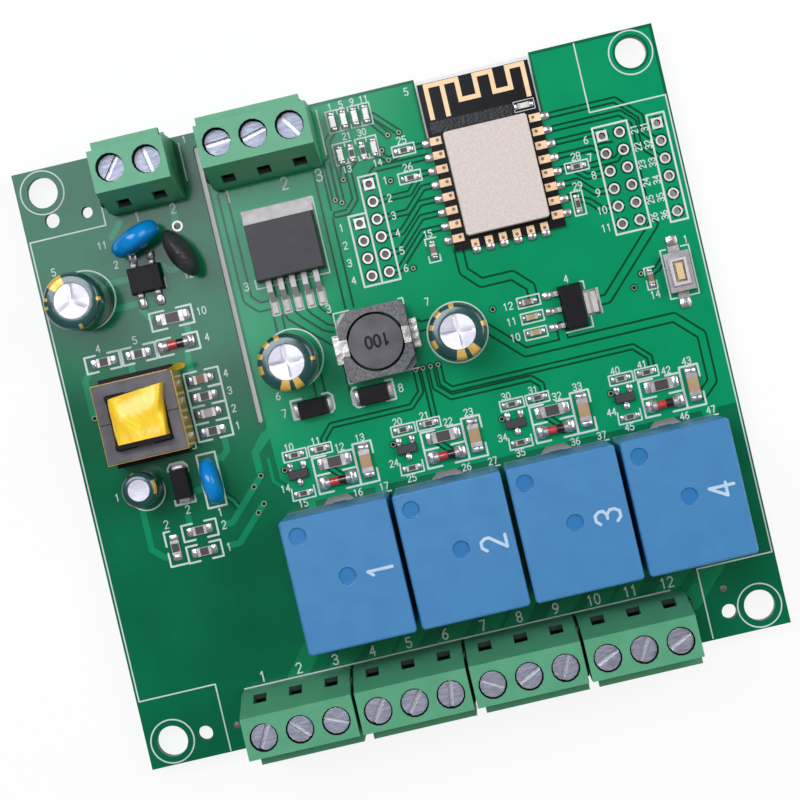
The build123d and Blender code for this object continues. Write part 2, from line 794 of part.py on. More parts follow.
def gull_lead(width, thickness, exit_height, reach, foot):
    """A bent lead: it leaves the body at y = 0, drops and ends in a flat foot along +Y."""
    knee = reach - foot
    outline = [(0, exit_height - thickness), (knee * 0.5, exit_height - thickness), (knee, 0), (reach, 0),
               (reach, thickness), (knee + thickness * 0.6, thickness),
               (knee * 0.5 + thickness * 0.6, exit_height), (0, exit_height)]
    return prism_x(outline, 0, width)


def moulded_body(length, width, height, standoff, draft):
    """A moulded package: drafted upper half and a straight lower half."""
    split = height * 0.45
    lower = block(0, 0, standoff, length, width, split - standoff)
    face = Pos(0, 0, split) * Rectangle(length, width)
    lid = Pos(0, 0, height) * Rectangle(length - 2 * draft, width - 2 * draft)
    return lower + loft([face, lid])


def buck_regulator():
    x, y = supply_terminal_middle(), antenna_edge - 18.8
    body = moulded_body(buck_body_width, buck_body_length, buck_body_height, 0.0, 0.2)
    tab_y = buck_body_length / 2 - 2.0 + (buck_tab_reach + 2.0) / 2
    tab = block(0, tab_y, 0, buck_body_width, buck_tab_reach + 2.0, buck_tab_thickness)
    corner = 1.4
    for side in (-1, 1):
        cut_y = buck_body_length / 2 + buck_tab_reach
        cutter = Pos(side * buck_body_width / 2, cut_y, 0) * Rot(0, 0, 45) * block(0, 0, -1, corner, corner, 4)
        tab -= cutter
    body -= block(0, tab_y, 0, buck_body_width + 1, buck_tab_reach + 2.0, buck_tab_thickness)
    leads = [Pos(dx, -buck_body_length / 2, 0) * Rot(0, 0, 180)
             * gull_lead(buck_lead_width, buck_lead_thickness, 2.6, buck_lead_reach, 1.9)
             for dx in span(buck_lead_count, buck_lead_pitch)]
    place = Pos(x, y, top)
    return place * body, [place * tab] + [place * lead for lead in leads]


def linear_regulator():
    x, y = linear_place
    body = moulded_body(linear_body_width, linear_body_length, linear_body_height, 0.05, 0.25)
    half = linear_body_width / 2
    lead = gull_lead(linear_lead_width, linear_lead_thickness, 0.9, linear_lead_reach, 0.9)
    tab = gull_lead(linear_tab_width, linear_lead_thickness, 0.9, linear_lead_reach, 0.9)
    leads = [Pos(-half, dy, 0) * Rot(0, 0, 90) * lead for dy in span(3, linear_lead_pitch)]
    leads.append(Pos(half, 0, 0) * Rot(0, 0, -90) * tab)
    place = Pos(x, y, top)
    return place * body, [place * piece for piece in leads]


def bridge_rectifier():
    x, y = bridge_place
    body = moulded_body(bridge_body_length, bridge_body_width, bridge_body_height, 0.1, 0.15)
    lead = gull_lead(bridge_lead_width, bridge_lead_thickness, 1.2, bridge_lead_reach, 0.8)
    half = bridge_body_width / 2
    leads = [Pos(dx, side * half, 0) * Rot(0, 0, 0 if side > 0 else 180) * lead
             for side in (-1, 1) for dx in span(2, bridge_lead_pitch)]
    place = Pos(x, y, top)
    return place * body, [place * piece for piece in leads]


def rectifier_diode(x, y, turn):
    """A moulded diode whose two end leads fold under it."""
    body = moulded_body(diode_body_length, diode_body_width, diode_body_height, diode_lead_thickness, 0.15)
    for side in (-1, 1):
        outer = diode_body_length / 2 + diode_lead_wrap
        lead = block(side * (outer - diode_lead_thickness / 2), 0, 0, diode_lead_thickness,
                     diode_lead_width, diode_body_height * 0.45)
        lead += block(side * (outer - (diode_lead_wrap + 0.6) / 2), 0, 0, diode_lead_wrap + 0.6,
                      diode_lead_width, diode_lead_thickness)
        lead += block(side * (outer - (diode_lead_wrap + 0.1) / 2), 0, diode_body_height * 0.45 - 0.2,
                      diode_lead_wrap + 0.1, diode_lead_width, 0.2)
        body += lead
    return Pos(x, y, top) * Rot(0, 0, turn) * body


def switch_base():
    """A shallow moulded box that holds the dome, with its two leads led out at the ends."""
    width = switch_cover_width - 2 * switch_sheet - 2 * switch_base_inset
    length = switch_cover_length - 2 * switch_sheet - 2 * switch_base_inset
    height = switch_cover_height - switch_sheet
    shape = block(0, 0, 0, width, length, height)
    shape -= block(0, 0, switch_base_floor, width - 2 * switch_base_wall, length - 2 * switch_base_wall,
                   height)
    return Pos(*switch_place, top) * shape


def switch_lead(side):
    inner = switch_cover_length / 2 + 0.05
    lead = block(0, side * (inner + switch_lead_reach / 2), 0, switch_lead_width, switch_lead_reach,
                 switch_lead_thickness)
    return Pos(*switch_place, top) * lead


def switch_dome():
    rim = extrude(RegularPolygon(switch_dome_diameter / 2, tooling_sides), switch_dome_rim)
    crown = Pos(0, 0, switch_dome_rise) * RegularPolygon(switch_dome_crown / 2, tooling_sides)
    shape = rim + loft([Pos(0, 0, switch_dome_rim) * RegularPolygon(switch_dome_diameter / 2, tooling_sides),
                        crown])
    return Pos(*switch_place, top + switch_base_floor) * shape


def switch_cover():
    """Folded sheet with open ends, and a raised rim around the button."""
    sheet = switch_sheet
    height = switch_cover_height
    shape = block(0, 0, 0, switch_cover_width, switch_cover_length, height)
    shape += block(0, 0, height, switch_rim_width, switch_rim_length, switch_rim_rise)
    shape -= block(0, 0, -1, switch_cover_width - 2 * sheet, switch_cover_length - 2 * sheet,
                   height - sheet + 1)
    shape -= block(0, 0, height - sheet - 0.01, switch_rim_width - 2 * sheet, switch_rim_length - 2 * sheet,
                   switch_rim_rise + 0.01)
    shape -= block(0, 0, height - 1, button_width + 2 * button_side_clearance,
                   button_length + 2 * button_side_clearance, 3)
    notch = switch_lead_width + 0.3
    for side in (-1, 1):
        shape -= block(0, side * switch_cover_length / 2, -1, notch, 1, 1 + switch_base_floor)
    return Pos(*switch_place, top) * shape


def reset_button():
    """The plunger: its flange is trapped under the cover, and its head comes through the rim."""
    flange_top = switch_cover_height - switch_sheet - button_play
    flange_bottom = flange_top - button_flange_thickness
    shape = block(0, 0, flange_bottom, button_width + 2 * button_flange,
                  button_length + 2 * button_flange, button_flange_thickness)
    shape += block(0, 0, flange_top, button_width, button_length, button_top - flange_top)
    return Pos(*switch_place, top) * shape


def chip(size, x, y, turn=0):
    """A small two-ended part: a body between two slightly proud end caps."""
    length, width, height = size
    cap = length * chip_cap_share
    shape = block(0, 0, 0, length - 2 * cap, width - 2 * chip_cap_rise, height - chip_cap_rise)
    for side in (-1, 1):
        shape += block(side * (length - cap) / 2, 0, 0, cap, width, height)
    return Pos(x, y, top) * Rot(0, 0, turn) * shape


def transistor(x, y):
    """Small transistor: two leads towards the antenna edge, one towards the relays."""
    length, width, height = transistor_body
    shape = moulded_body(length, width, height, 0.05, 0.1)
    lead = gull_lead(transistor_lead_width, transistor_lead_thickness, 0.55, transistor_lead_reach, 0.3)
    shape += Pos(0, -width / 2, 0) * Rot(0, 0, 180) * lead
    for dx in span(2, transistor_lead_pitch):
        shape += Pos(dx, width / 2, 0) * lead
    return Pos(x, y, top) * shape


def glass_diode(x, y):
    """A glass tube diode lying on its two metal end caps."""
    length, cap = glass_diode_length, glass_diode_cap
    shape = rod(0, 0, -length / 2, glass_diode_waist, length, glass_diode_sides)
    for z in (-length / 2, length / 2 - cap):
        shape += rod(0, 0, z, glass_diode_diameter, cap, glass_diode_sides)
    lowest = glass_diode_diameter / 2 * math.cos(math.pi / glass_diode_sides)
    lie = Rot(0, 90, 0) * Rot(0, 0, 180 / glass_diode_sides)
    return Pos(x, y, top + lowest) * lie * shape


def cell_places(x, rise):
    """The same place in each relay's driver cell, above the end of the relay row."""
    return [(relay_row_middle + x + dx, driver_line + rise) for dx in span(relay_count, relay_pitch)]


def chip_resistors():
    small = cell_places(-4.35, 7.9) + cell_places(-0.6, 7.95) + cell_places(-4.3, 2.35)
    module_x = module_place[0]
    small += [(module_x - 11.85, antenna_edge - 9.35), (module_x - 11.78, antenna_edge - 13.35),
              (module_x + 11.35, antenna_edge - 17.2)]
    parts = [chip(chip_0603, x, y) for x, y in small]
    upright = [(module_x + 10.35, antenna_edge - 22.4), (header_inner[0] - 1.36, antenna_edge - 8.05),
               (header_inner[0] + 0.28, antenna_edge - 8.1)]
    parts += [chip(chip_0603, x, y, 90) for x, y in upright]
    parts += [chip(chip_1206, x, y) for x, y in cell_places(1.0, 5.75)]
    below_bridge = (bridge_place[1] + mains_row_y) / 2 - 1.125
    medium = [(left_edge + 17.7, below_bridge), (left_edge + 6.75, mains_row_y),
              (left_edge + 11.8, mains_row_y), (left_edge + 14.5, supply_line - 11.65),
              (left_edge + 14.5, supply_line - 14.7)]
    parts += [chip(chip_0805, x, y) for x, y in medium]
    parts.append(chip(chip_0805, left_edge + 10.6, supply_line - 13.3, 90))
    parts += [chip(chip_0805, left_edge + 19.6, supply_line + dy) for dy in (6.7, 1.65)]
    return parts


def chip_capacitors():
    parts = [chip(tan_chip_size, x, y, 90) for x, y in cell_places(5.35, 4.8)]
    beside_linear = [(linear_place[0] - 6.1, 9.2), (linear_place[0] - 6.05, 7.0),
                     (linear_place[0] - 6.0, 4.75)]
    parts += [chip(small_capacitor_size, x, supply_line + dy) for x, dy in beside_linear]
    upright = [(module_place[0] - 11.0, antenna_edge - 24.0), (right_edge - 8.2, supply_line + 8.5)]
    parts += [chip(small_capacitor_size, x, y, 90) for x, y in upright]
    parts += [chip(mains_capacitor_size, left_edge + 19.6, supply_line + dy) for dy in (9.2, 4.3)]
    return parts


def indicators():
    x, y = header_inner
    row = [(x - 2.95 + 1.6 * i, antenna_edge - 3.2) for i in range(4)]
    row += [(x - 2.95, antenna_edge - 8.05), (x + 1.9, antenna_edge - 8.05)]
    parts = [chip(indicator_size, px, py, 90) for px, py in row]
    lamp = chip(indicator_size, module_place[0] + 6.0, module_place[1] + module_length / 2 - 6.2)
    parts.append(Pos(0, 0, module_thickness) * lamp)
    return parts


def build():
    os.makedirs("parts", exist_ok=True)
    save("circuit_board", circuit_board())
    pins = []
    for i, centre in enumerate(relay_centres()):
        save(f"relay_case_{i + 1}", relay_case(centre))
        pins += relay_pins(centre)
    save("relay_pins", *pins)
    for name, middle, y, poles, side, recess in terminal_blocks():
        save(f"terminal_housing_{name}", place_terminal(terminal_housing(poles, recess), middle, y, side))
        clamps, screws = [], []
        for x, screw_turn in zip(span(poles, pole_pitch), screw_turns[name]):
            clamps.append(place_terminal(Pos(side * x, 0, 0) * terminal_clamp(), middle, y, side))
            screw = Pos(side * x, 0, 0) * terminal_screw(recess, screw_turn)
            screws.append(place_terminal(screw, middle, y, side))
        save(f"terminal_clamps_{name}", *clamps)
        save(f"terminal_screws_{name}", *screws)
    save("wifi_module_board", module_board())
    save("wifi_shield_can", shield_can())
    save("transformer_core_half_1", core_half(1))
    save("transformer_core_half_2", core_half(-1))
    save("transformer_bobbin", bobbin())
    save("transformer_winding", winding())
    save("transformer_tape", core_tape())
    save("transformer_pins", *transformer_pins())
    leads = []
    for name, place, diameter, length, pitch in capacitor_cans:
        save(name, capacitor_can(place, diameter, length))
        lead_height = tail_height() + capacitor_standoff
        leads += [rod(x, y, -tail_length, capacitor_lead_diameter, lead_height, lead_sides)
                  for x, y in lead_pair(place, pitch)]
    for name, place, diameter, thickness, turn in disc_parts:
        save(name, disc_body(place, diameter, thickness, turn))
        leads += disc_leads(place, diameter, thickness, turn)
    save("radial_leads", *leads)
    save("inductor_shield", inductor_shield())
    save("inductor_drum", inductor_drum())
    save("inductor_terminals", inductor_clip(-1), inductor_clip(1))
    for name, maker in (("buck_regulator", buck_regulator), ("linear_regulator", linear_regulator),
                        ("bridge_rectifier", bridge_rectifier)):
        body, metal = maker()
        save(f"{name}_body", body)
        save(f"{name}_leads", *metal)
    save("rectifier_diodes", *[rectifier_diode(*place) for place in rectifier_diode_places])
    save("reset_switch_base", switch_base())
    save("reset_switch_leads", switch_lead(-1), switch_lead(1))
    save("reset_switch_dome", switch_dome())
    save("reset_switch_cover", switch_cover())
    save("reset_button", reset_button())
    save("chip_resistors", *chip_resistors())
    save("chip_capacitors", *chip_capacitors())
    save("indicator_leds", *indicators())
    save("relay_transistors", *[transistor(x, y) for x, y in cell_places(-4.4, 5.15)])
    glass = [glass_diode(x, y) for x, y in cell_places(0.9, 3.05)]
    save("glass_diodes", *glass, glass_diode(left_edge + 17.35, mains_row_y + 0.15))


build()
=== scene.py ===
"""The looks of the relay module board, dressed over its fixed frame. Metres, +Z up.

The origin is the centre of the four corner holes, on the board's underside. +X runs along
the row of relays, +Y towards the antenna edge.
"""
import math

import bmesh
import bpy
from mathutils import Matrix, Vector
from mathutils.bvhtree import BVHTree


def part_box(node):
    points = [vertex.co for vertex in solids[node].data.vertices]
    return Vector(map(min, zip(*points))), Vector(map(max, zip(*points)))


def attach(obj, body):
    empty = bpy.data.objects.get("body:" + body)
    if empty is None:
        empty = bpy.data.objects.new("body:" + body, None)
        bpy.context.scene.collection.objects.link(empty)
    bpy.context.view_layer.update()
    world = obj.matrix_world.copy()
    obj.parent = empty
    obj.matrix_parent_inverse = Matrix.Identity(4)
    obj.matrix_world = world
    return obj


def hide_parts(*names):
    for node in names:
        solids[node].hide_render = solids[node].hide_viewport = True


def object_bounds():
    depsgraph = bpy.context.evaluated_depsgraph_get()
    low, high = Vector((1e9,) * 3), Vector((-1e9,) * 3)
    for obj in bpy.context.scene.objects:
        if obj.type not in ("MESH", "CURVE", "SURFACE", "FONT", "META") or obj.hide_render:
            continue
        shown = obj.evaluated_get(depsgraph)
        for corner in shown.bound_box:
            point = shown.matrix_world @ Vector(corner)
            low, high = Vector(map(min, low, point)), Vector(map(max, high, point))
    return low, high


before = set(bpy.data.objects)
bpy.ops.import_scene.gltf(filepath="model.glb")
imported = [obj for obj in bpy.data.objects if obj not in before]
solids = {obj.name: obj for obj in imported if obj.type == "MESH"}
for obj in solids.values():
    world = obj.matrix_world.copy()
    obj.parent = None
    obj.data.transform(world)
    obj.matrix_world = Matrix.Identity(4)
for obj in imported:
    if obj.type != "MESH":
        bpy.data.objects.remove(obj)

solid_box = [list(corner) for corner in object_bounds()]
MM = 0.001

# Board and the layers above it, in millimetres
board_top = 1.6
board_half_length = 46.5
board_half_width = 43.4
pour_lift = 0.018
gap_lift = 0.022
track_lift = 0.034
pad_lift = 0.05
ink_lift = 0.056
sunk = 0.012
layer_step = 0.004
golden_share = 0.618

# Line widths, in millimetres
gap_line = 0.3
fine_track = 0.42
supply_track = 0.95
mains_track = 0.9
relay_track = 2.6
spoke_line = 0.34
frame_line = 0.2
bold_frame_line = 0.28
number_line = 0.15
large_number_line = 0.2
fine_line = 0.1

# Holes in the board; header_rows lists the first hole of each row and how many there are
header_pitch = 2.54
header_hole = 1.02
header_pad = 1.54
header_clearance = 2.04
bore_wall = 0.03
corner_hole_clearance = 2.55
corner_hole_print = 3.1
small_via = (0.19, 0.15)
open_via = (0.27, 0.11)
via_clearance = (0.3, 0.25)
header_rows = [(44.1, 29.55, 6), (36.15, 29.55, 6), (38.69, 29.55, 6), (2.62, 30.55, 6), (0.08, 25.45, 4)]

# Relays, their driver cells and the terminals
cell_count = 4
cell_pitch = 15.8
cell_middle = 11.6
relay_number_height = 3.4
relay_number_line = 0.42
relay_number_inset = 3.0
terminal_blocks = ("mains", "supply", "relay_1", "relay_2", "relay_3", "relay_4")
new_blocks = ("mains", "supply")
chamber_face_area = 8.0
shade_reach = 6.0
shade_share = 0.3

# Wireless module
module_pad_pitch = 2.0
module_pad_start = 8.2
module_side_pads = 8
module_end_pads = 6
module_pad_half = 0.55
notch_radius = 0.25

# Solder: joints as foot radius, neck radius and height, mounds as length, width and height
joint_waist = 0.35
joint_step = 0.4
tail_joint = (1.25, 0.3, -1.2)
lead_joint = (0.85, 0.18, -0.9)
mound_crease = 0.3
mound_spread = 1.1
mound_sizes = {
    "module_side_solder": (1.5, 1.15, 0.6), "module_end_solder": (1.25, 1.2, 0.6),
    "glass_diode_solder": (1.4, 1.75, 0.8), "bridge_solder": (1.2, 1.5, 0.6),
    "regulator_solder": (1.3, 1.05, 0.6), "transistor_solder": (0.9, 1.0, 0.5),
    "switch_solder": (1.7, 1.5, 0.4),
}

# Bare tinned copper beside the packages
transistor_lead_half = 0.95
land_margin = 0.35
diode_land = 0.6
tab_land = 2.3

# Ends of the capacitors
end_dish = 0.06
vent_depth = 0.14
vent_width = 0.16

# Discs
disc_lead_reach = 2.5
disc_droop = 0.03

# Wrap and tapes of the transformer
wrap_overhang = 0.6
wrap_slant = 0.35
wrap_flare = 0.2
wrap_corner = 0.25
wrap_rise = 0.35
core_tape_cover = 0.86
tape_thickness = 0.06

# Parts drawn at another size than their solid
bridge_resistor_size = (3.2, 1.6, 0.6)
button_slim = (0.77, 0.86)

# Camera and light
lens = 106.12
camera_place = (9.09, 5.31, 335.3)
camera_right = (0.97308, -0.22931, -0.02301)
camera_up = (0.22882, 0.97321, -0.02227)
camera_back = (0.0275, 0.01641, 0.99949)
ambient = 0.3
glossy_ambient = 0.2
# The floor glows less under the board and least below its headers and spare hole: painted shade seen
# through the holes.
outer_glow = 0.88
middle_glow = 0.34
painted_shade_glow = 0.14
key_place = (-0.209, 0.261, 0.62)
key_size = (0.29, 0.52)
key_turn = 55
key_power = 3.1
key_tint = (0.95, 1.0, 1.12)
fill_place = (0.46, 0.08, 0.5)
fill_size = (0.4, 0.4)
fill_power = 1.7
floor_reach = 3.0


# Small tools
def shade(red, green, blue):
    """A colour as the eye reads it, 0 to 255, turned into linear light."""
    values = []
    for part in (red, green, blue):
        part = part / 255
        values.append(part / 12.92 if part <= 0.04045 else ((part + 0.055) / 1.055) ** 2.4)
    return (*values, 1.0)


def add(tree, kind, inputs=None, **settings):
    """A node with its settings; each input is a plain value or the output of another node."""
    node = tree.nodes.new(kind)
    for name, value in settings.items():
        setattr(node, name, value)
    for socket, value in (inputs or {}).items():
        if isinstance(value, bpy.types.NodeSocket):
            tree.links.new(value, node.inputs[socket])
        else:
            node.inputs[socket].default_value = value
    return node


def maths(tree, operation, *values):
    """The result of one sum; each value is a number or the output of a node."""
    return add(tree, "ShaderNodeMath", dict(enumerate(values)), operation=operation).outputs["Value"]


def vector_of(tree, x=0.0, y=0.0, z=0.0):
    return add(tree, "ShaderNodeCombineXYZ", {"X": x, "Y": y, "Z": z}).outputs["Vector"]


def box_of(node):
    """The lowest and highest corner of a solid, in millimetres."""
    return [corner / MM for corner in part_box(node)]


def middle_of(low, high):
    """The middle of a box, seen from above."""
    return (low.x + high.x) / 2, (low.y + high.y) / 2


def cells(x, y):
    """The same place in each of the four relay driver cells."""
    return [(cell_middle + x + (i - (cell_count - 1) / 2) * cell_pitch, y) for i in range(cell_count)]


# Finishes
def shader_of(mat):
    return mat.node_tree.nodes["Principled BSDF"]


def finish(name, tone, rough=0.5, metal=0.0, coat=0.0, coat_rough=0.1, shine=0.5):
    """A plain material; the tone is what the eye reads, 0 to 255."""
    mat = bpy.data.materials.new(name)
    mat.use_nodes = True
    values = {"Base Color": shade(*tone), "Roughness": rough, "Metallic": metal,
              "Specular IOR Level": shine, "Coat Weight": coat, "Coat Roughness": coat_rough}
    for socket, value in values.items():
        shader_of(mat).inputs[socket].default_value = value
    mat.diffuse_color = shade(*tone)
    return mat


def noise(mat, size, stretch=(1, 1, 1), detail=3.0, warp=0.0):
    """Noise in the piece's own place; size is the width of one patch in millimetres."""
    tree = mat.node_tree
    place = add(tree, "ShaderNodeTexCoord").outputs["Object"]
    stretched = add(tree, "ShaderNodeMapping", {"Scale": stretch, "Vector": place}).outputs["Vector"]
    inputs = {"Vector": stretched, "Scale": 1 / (size * MM), "Detail": detail, "Distortion": warp}
    return add(tree, "ShaderNodeTexNoise", inputs).outputs["Fac"]


def mottle(mat, dark, light, size, spread=0.15, stretch=(1, 1, 1), detail=3.0):
    """Two tones of the finish, mixed in soft patches."""
    tree = mat.node_tree
    ramp = add(tree, "ShaderNodeValToRGB", {"Fac": noise(mat, size, stretch, detail)})
    for stop, place, tone in zip(ramp.color_ramp.elements, (0.5 - spread, 0.5 + spread), (dark, light)):
        stop.position = place
        stop.color = shade(*tone)
    tree.links.new(ramp.outputs["Color"], shader_of(mat).inputs["Base Color"])
    return ramp.outputs["Color"]


def relief(mat, size, depth, stretch=(1, 1, 1), detail=2.0, warp=0.0):
    """Fine unevenness of the surface; depth is in millimetres."""
    tree = mat.node_tree
    bump = add(tree, "ShaderNodeBump", {"Height": noise(mat, size, stretch, detail, warp),
                                        "Distance": depth * MM})
    tree.links.new(bump.outputs["Normal"], shader_of(mat).inputs["Normal"])


def board_mask():
    """Solder mask on bare laminate: glossy on both faces, duller and paler on the sawn edges."""
    mat = finish("mask on laminate", (5, 92, 58), 0.13, shine=0.2)
    tree = mat.node_tree
    tones = mottle(mat, (2, 99, 63), (4, 111, 71), 9.0, 0.25)
    relief(mat, 0.8, 0.0012)
    normal = add(tree, "ShaderNodeNewGeometry").outputs["Normal"]
    upright = add(tree, "ShaderNodeSeparateXYZ", {"Vector": normal}).outputs["Z"]
    flat = maths(tree, "GREATER_THAN", maths(tree, "ABSOLUTE", upright), 0.6)
    edge = add(tree, "ShaderNodeMix", {0: flat, 6: shade(38, 104, 82), 7: tones}, data_type="RGBA")
    tree.links.new(edge.outputs[2], shader_of(mat).inputs["Base Color"])
    return mat


def mask_finish(name, dark, light):
    """Solder mask over copper or over a gap in it."""
    mat = finish(name, light, 0.13, shine=0.2)
    mottle(mat, dark, light, 7.0, 0.25)
    relief(mat, 0.8, 0.0012)
    return mat


def moulding(name, dark, light, rough, grain=0.25, depth=0.006, coat=0.0, shine=0.5):
    """Moulded plastic with a faint grain."""
    mat = finish(name, light, rough, coat=coat, coat_rough=0.2, shine=shine)
    mottle(mat, dark, light, 3.0, 0.3)
    relief(mat, grain, depth)
    return mat


def speckled(name, dark, light, rough):
    """Pressed powder: fine light specks in a dark ground."""
    mat = finish(name, light, rough)
    mottle(mat, dark, light, 0.3, 0.16, detail=4.0)
    relief(mat, 0.3, 0.03)
    return mat


def metal_finish(name, dark, light, rough, grain=0.4, depth=0.01, stretch=(1, 1, 1), metal=1.0):
    """Metal with a fine grain; stretch squeezes the grain along an axis."""
    mat = finish(name, light, rough, metal)
    mottle(mat, dark, light, grain * 3, 0.25, stretch)
    relief(mat, grain, depth, stretch)
    return mat


def build_finishes():
    made = {
        "mask": board_mask(),
        "pour": mask_finish("mask over copper", (2, 140, 90), (6, 150, 97)),
        # The gaps: mask on bare laminate, made darker than the bare mask elsewhere as painted shade along
        # their narrow edges.
        "gap": mask_finish("mask in the gaps with painted shade", (2, 66, 46), (6, 74, 52)),
        "mains track": mask_finish("mask over mains copper", (10, 134, 88), (18, 144, 96)),
        "relay track": mask_finish("mask over relay copper", (12, 122, 76), (18, 134, 84)),
        "ink": moulding("silk ink", (194, 205, 202), (218, 226, 223), 0.6, 0.12, 0.004),
        "terminal": moulding("terminal green", (78, 154, 113), (87, 166, 122), 0.42, 0.18, 0.006),
        "terminal shade": moulding("terminal green in deep shade", (8, 26, 20), (14, 36, 28), 0.7, 0.18,
                                   0.006),
        "relay": moulding("relay blue", (56, 124, 176), (64, 133, 184), 0.38, 0.2, 0.004),
        "relay dimple": moulding("relay blue in the dimples", (30, 112, 172), (36, 120, 180), 0.3, 0.2,
                                 0.004),
        "relay ink": moulding("relay ink", (176, 200, 222), (204, 222, 238), 0.6, 0.15, 0.003),
        "screw": metal_finish("zinc plated steel", (132, 132, 146), (188, 188, 204), 0.34, 0.5, 0.02,
                              (1, 5, 1), metal=0.7),
        "bright screw": metal_finish("new zinc plated steel", (128, 132, 146), (178, 182, 196), 0.4, 0.5,
                                     0.03, (1, 5, 1), metal=0.45),
        # Painted highlight: the slot floors are lighter than the heads.
        "screw slot highlight": metal_finish("slot floor with painted highlight", (190, 190, 198), (232, 232, 238), 0.3, 0.4, 0.02,
                                   (1, 5, 1), metal=0.4),
        "tin": metal_finish("tinned lead", (158, 152, 150), (208, 203, 199), 0.32, 0.3, 0.01, metal=0.55),
        "plain tin": metal_finish("tinned tab", (176, 170, 168), (204, 198, 194), 0.5, 0.4, 0.006,
                                  metal=0.25),
        "solder": metal_finish("solder", (160, 156, 158), (216, 213, 217), 0.22, 0.45, 0.05, metal=0.8),
        "pad": metal_finish("tinned pad", (206, 198, 192), (232, 225, 219), 0.35, 0.4, 0.004, metal=0.3),
        "gold": metal_finish("gold plated pad", (224, 182, 136), (244, 208, 166), 0.42, 0.3, 0.005,
                             metal=0.4),
        "speckle": speckled("speckled ferrite", (80, 77, 80), (124, 120, 124), 0.5),
        # Painted shade: the dark inside a via's hole.
        "via hole shade": moulding("painted shade in a via", (14, 20, 17), (22, 28, 24), 0.6, shine=0.1),
        "via": moulding("ring of a via", (120, 152, 112), (164, 176, 136), 0.3, 0.2, 0.004),
        "laminate": moulding("bare laminate edge", (122, 100, 66), (156, 130, 90), 0.6, 0.2, 0.006),
        "shield": metal_finish("shield metal", (204, 190, 181), (224, 211, 202), 0.6, 0.12, 0.006,
                               metal=0.2),
        "bore": metal_finish("plated bore", (96, 84, 80), (140, 126, 120), 0.45, 0.3, 0.01, metal=0.6),
        "module": moulding("module mask", (12, 11, 13), (18, 17, 19), 0.25, 0.4, 0.004, shine=0.15),
        "module band": moulding("module bare band", (8, 8, 10), (30, 30, 33), 0.3, 0.4, 0.06, coat=0.1,
                                shine=0.3),
        "antenna": metal_finish("antenna copper under mask", (240, 200, 150), (250, 214, 168), 0.5, 0.3,
                                0.004, metal=0.15),
        "ferrite": moulding("ferrite", (76, 72, 76), (108, 103, 108), 0.55, 0.22, 0.03),
        "bobbin": moulding("bobbin black", (12, 11, 13), (22, 21, 23), 0.45, 0.2, 0.01, shine=0.15),
        "package": moulding("package black", (44, 40, 46), (58, 54, 60), 0.5, 0.14, 0.012),
        "dark package": moulding("diode black", (20, 18, 22), (30, 28, 32), 0.4, 0.14, 0.01, shine=0.12),
        "cream": moulding("button cream", (214, 184, 134), (230, 202, 152), 0.45, 0.3, 0.006),
        "blue dip": moulding("blue dip", (0, 112, 186), (4, 142, 214), 0.14, 1.2, 0.05, coat=0.3,
                             shine=0.3),
        "black dip": moulding("black dip", (26, 25, 28), (60, 58, 62), 0.42, 0.5, 0.16),
        "sleeve": moulding("shrink sleeve", (14, 58, 56), (30, 78, 76), 0.16, 1.5, 0.03, coat=0.5),
        "sleeve print": metal_finish("gold print", (206, 160, 64), (232, 190, 96), 0.35, 0.3, 0.005,
                                     metal=0.3),
        "can end": metal_finish("can aluminium", (190, 186, 196), (216, 212, 222), 0.38, 0.5, 0.01,
                                (1, 8, 1), metal=0.4),
        "can leaf highlight": metal_finish("can aluminium with painted highlight", (232, 228, 236), (248, 246, 250),
                                 0.34, 0.5, 0.01, (8, 1, 1), metal=0.2),
        "bung": moulding("rubber bung", (30, 29, 30), (40, 39, 40), 0.7),
        "resistor film": moulding("resistor film", (52, 46, 46), (72, 66, 64), 0.4, 0.2, 0.01),
        "resistor clay": moulding("resistor clay", (188, 176, 170), (208, 198, 192), 0.5, 0.1, 0.004),
        "capacitor clay": moulding("capacitor clay", (126, 96, 78), (146, 114, 92), 0.45, 0.15, 0.006),
        "tan clay": moulding("tan capacitor clay", (172, 136, 98), (190, 154, 114), 0.45, 0.15, 0.006),
        "pink clay": moulding("pale capacitor clay", (176, 156, 158), (196, 176, 178), 0.45, 0.15, 0.006),
        "lamp": moulding("lamp resin", (214, 208, 196), (240, 236, 228), 0.18, 0.3, 0.01, coat=0.5),
        "glass red": moulding("red glass", (176, 40, 44), (214, 70, 66), 0.1, 0.5, 0.02, coat=0.8),
        "glass dark": moulding("dark glass", (34, 16, 20), (60, 26, 30), 0.12, 0.5, 0.02, coat=0.8),
        "ink dark": moulding("engraved mark", (24, 22, 26), (34, 32, 36), 0.6, shine=0.2),
        "clip metal": metal_finish("clip metal", (156, 148, 142), (214, 208, 202), 0.3, 1.1, 0.08,
                                   metal=0.7),
        "switch plate": metal_finish("switch plate", (150, 143, 145), (184, 176, 178), 0.36, 0.8, 0.004,
                                     metal=0.5),
        "switch rim highlight": metal_finish("switch plate rim with painted highlight", (204, 197, 197), (226, 220, 220), 0.34, 0.3, 0.004,
                                   metal=0.4),
    }
    made["tape"] = tape_finish()
    made["core tape"] = core_tape_finish()
    return made


def tape_finish():
    """Yellow polyester tape, wound wet and creased."""
    mat = finish("winding tape", (248, 206, 12), 0.3, coat=0.3, coat_rough=0.12)
    mottle(mat, (246, 190, 6), (255, 222, 40), 1.6, 0.2, (1, 0.4, 1))
    relief(mat, 1.4, 0.12, (1, 0.5, 1), 2.0, 1.2)
    return mat


def core_tape_finish():
    """Thin amber tape: see-through, so the ferrite shows under it."""
    mat = finish("core tape", (206, 160, 24), 0.2, coat=0.4)
    mottle(mat, (178, 136, 18), (224, 178, 40), 1.2, 0.25)
    shader_of(mat).inputs["Alpha"].default_value = core_tape_cover
    return mat


look = build_finishes()


# Mesh tools
def shown(name, mesh):
    piece = bpy.data.objects.new(name, mesh)
    bpy.context.scene.collection.objects.link(piece)
    return piece


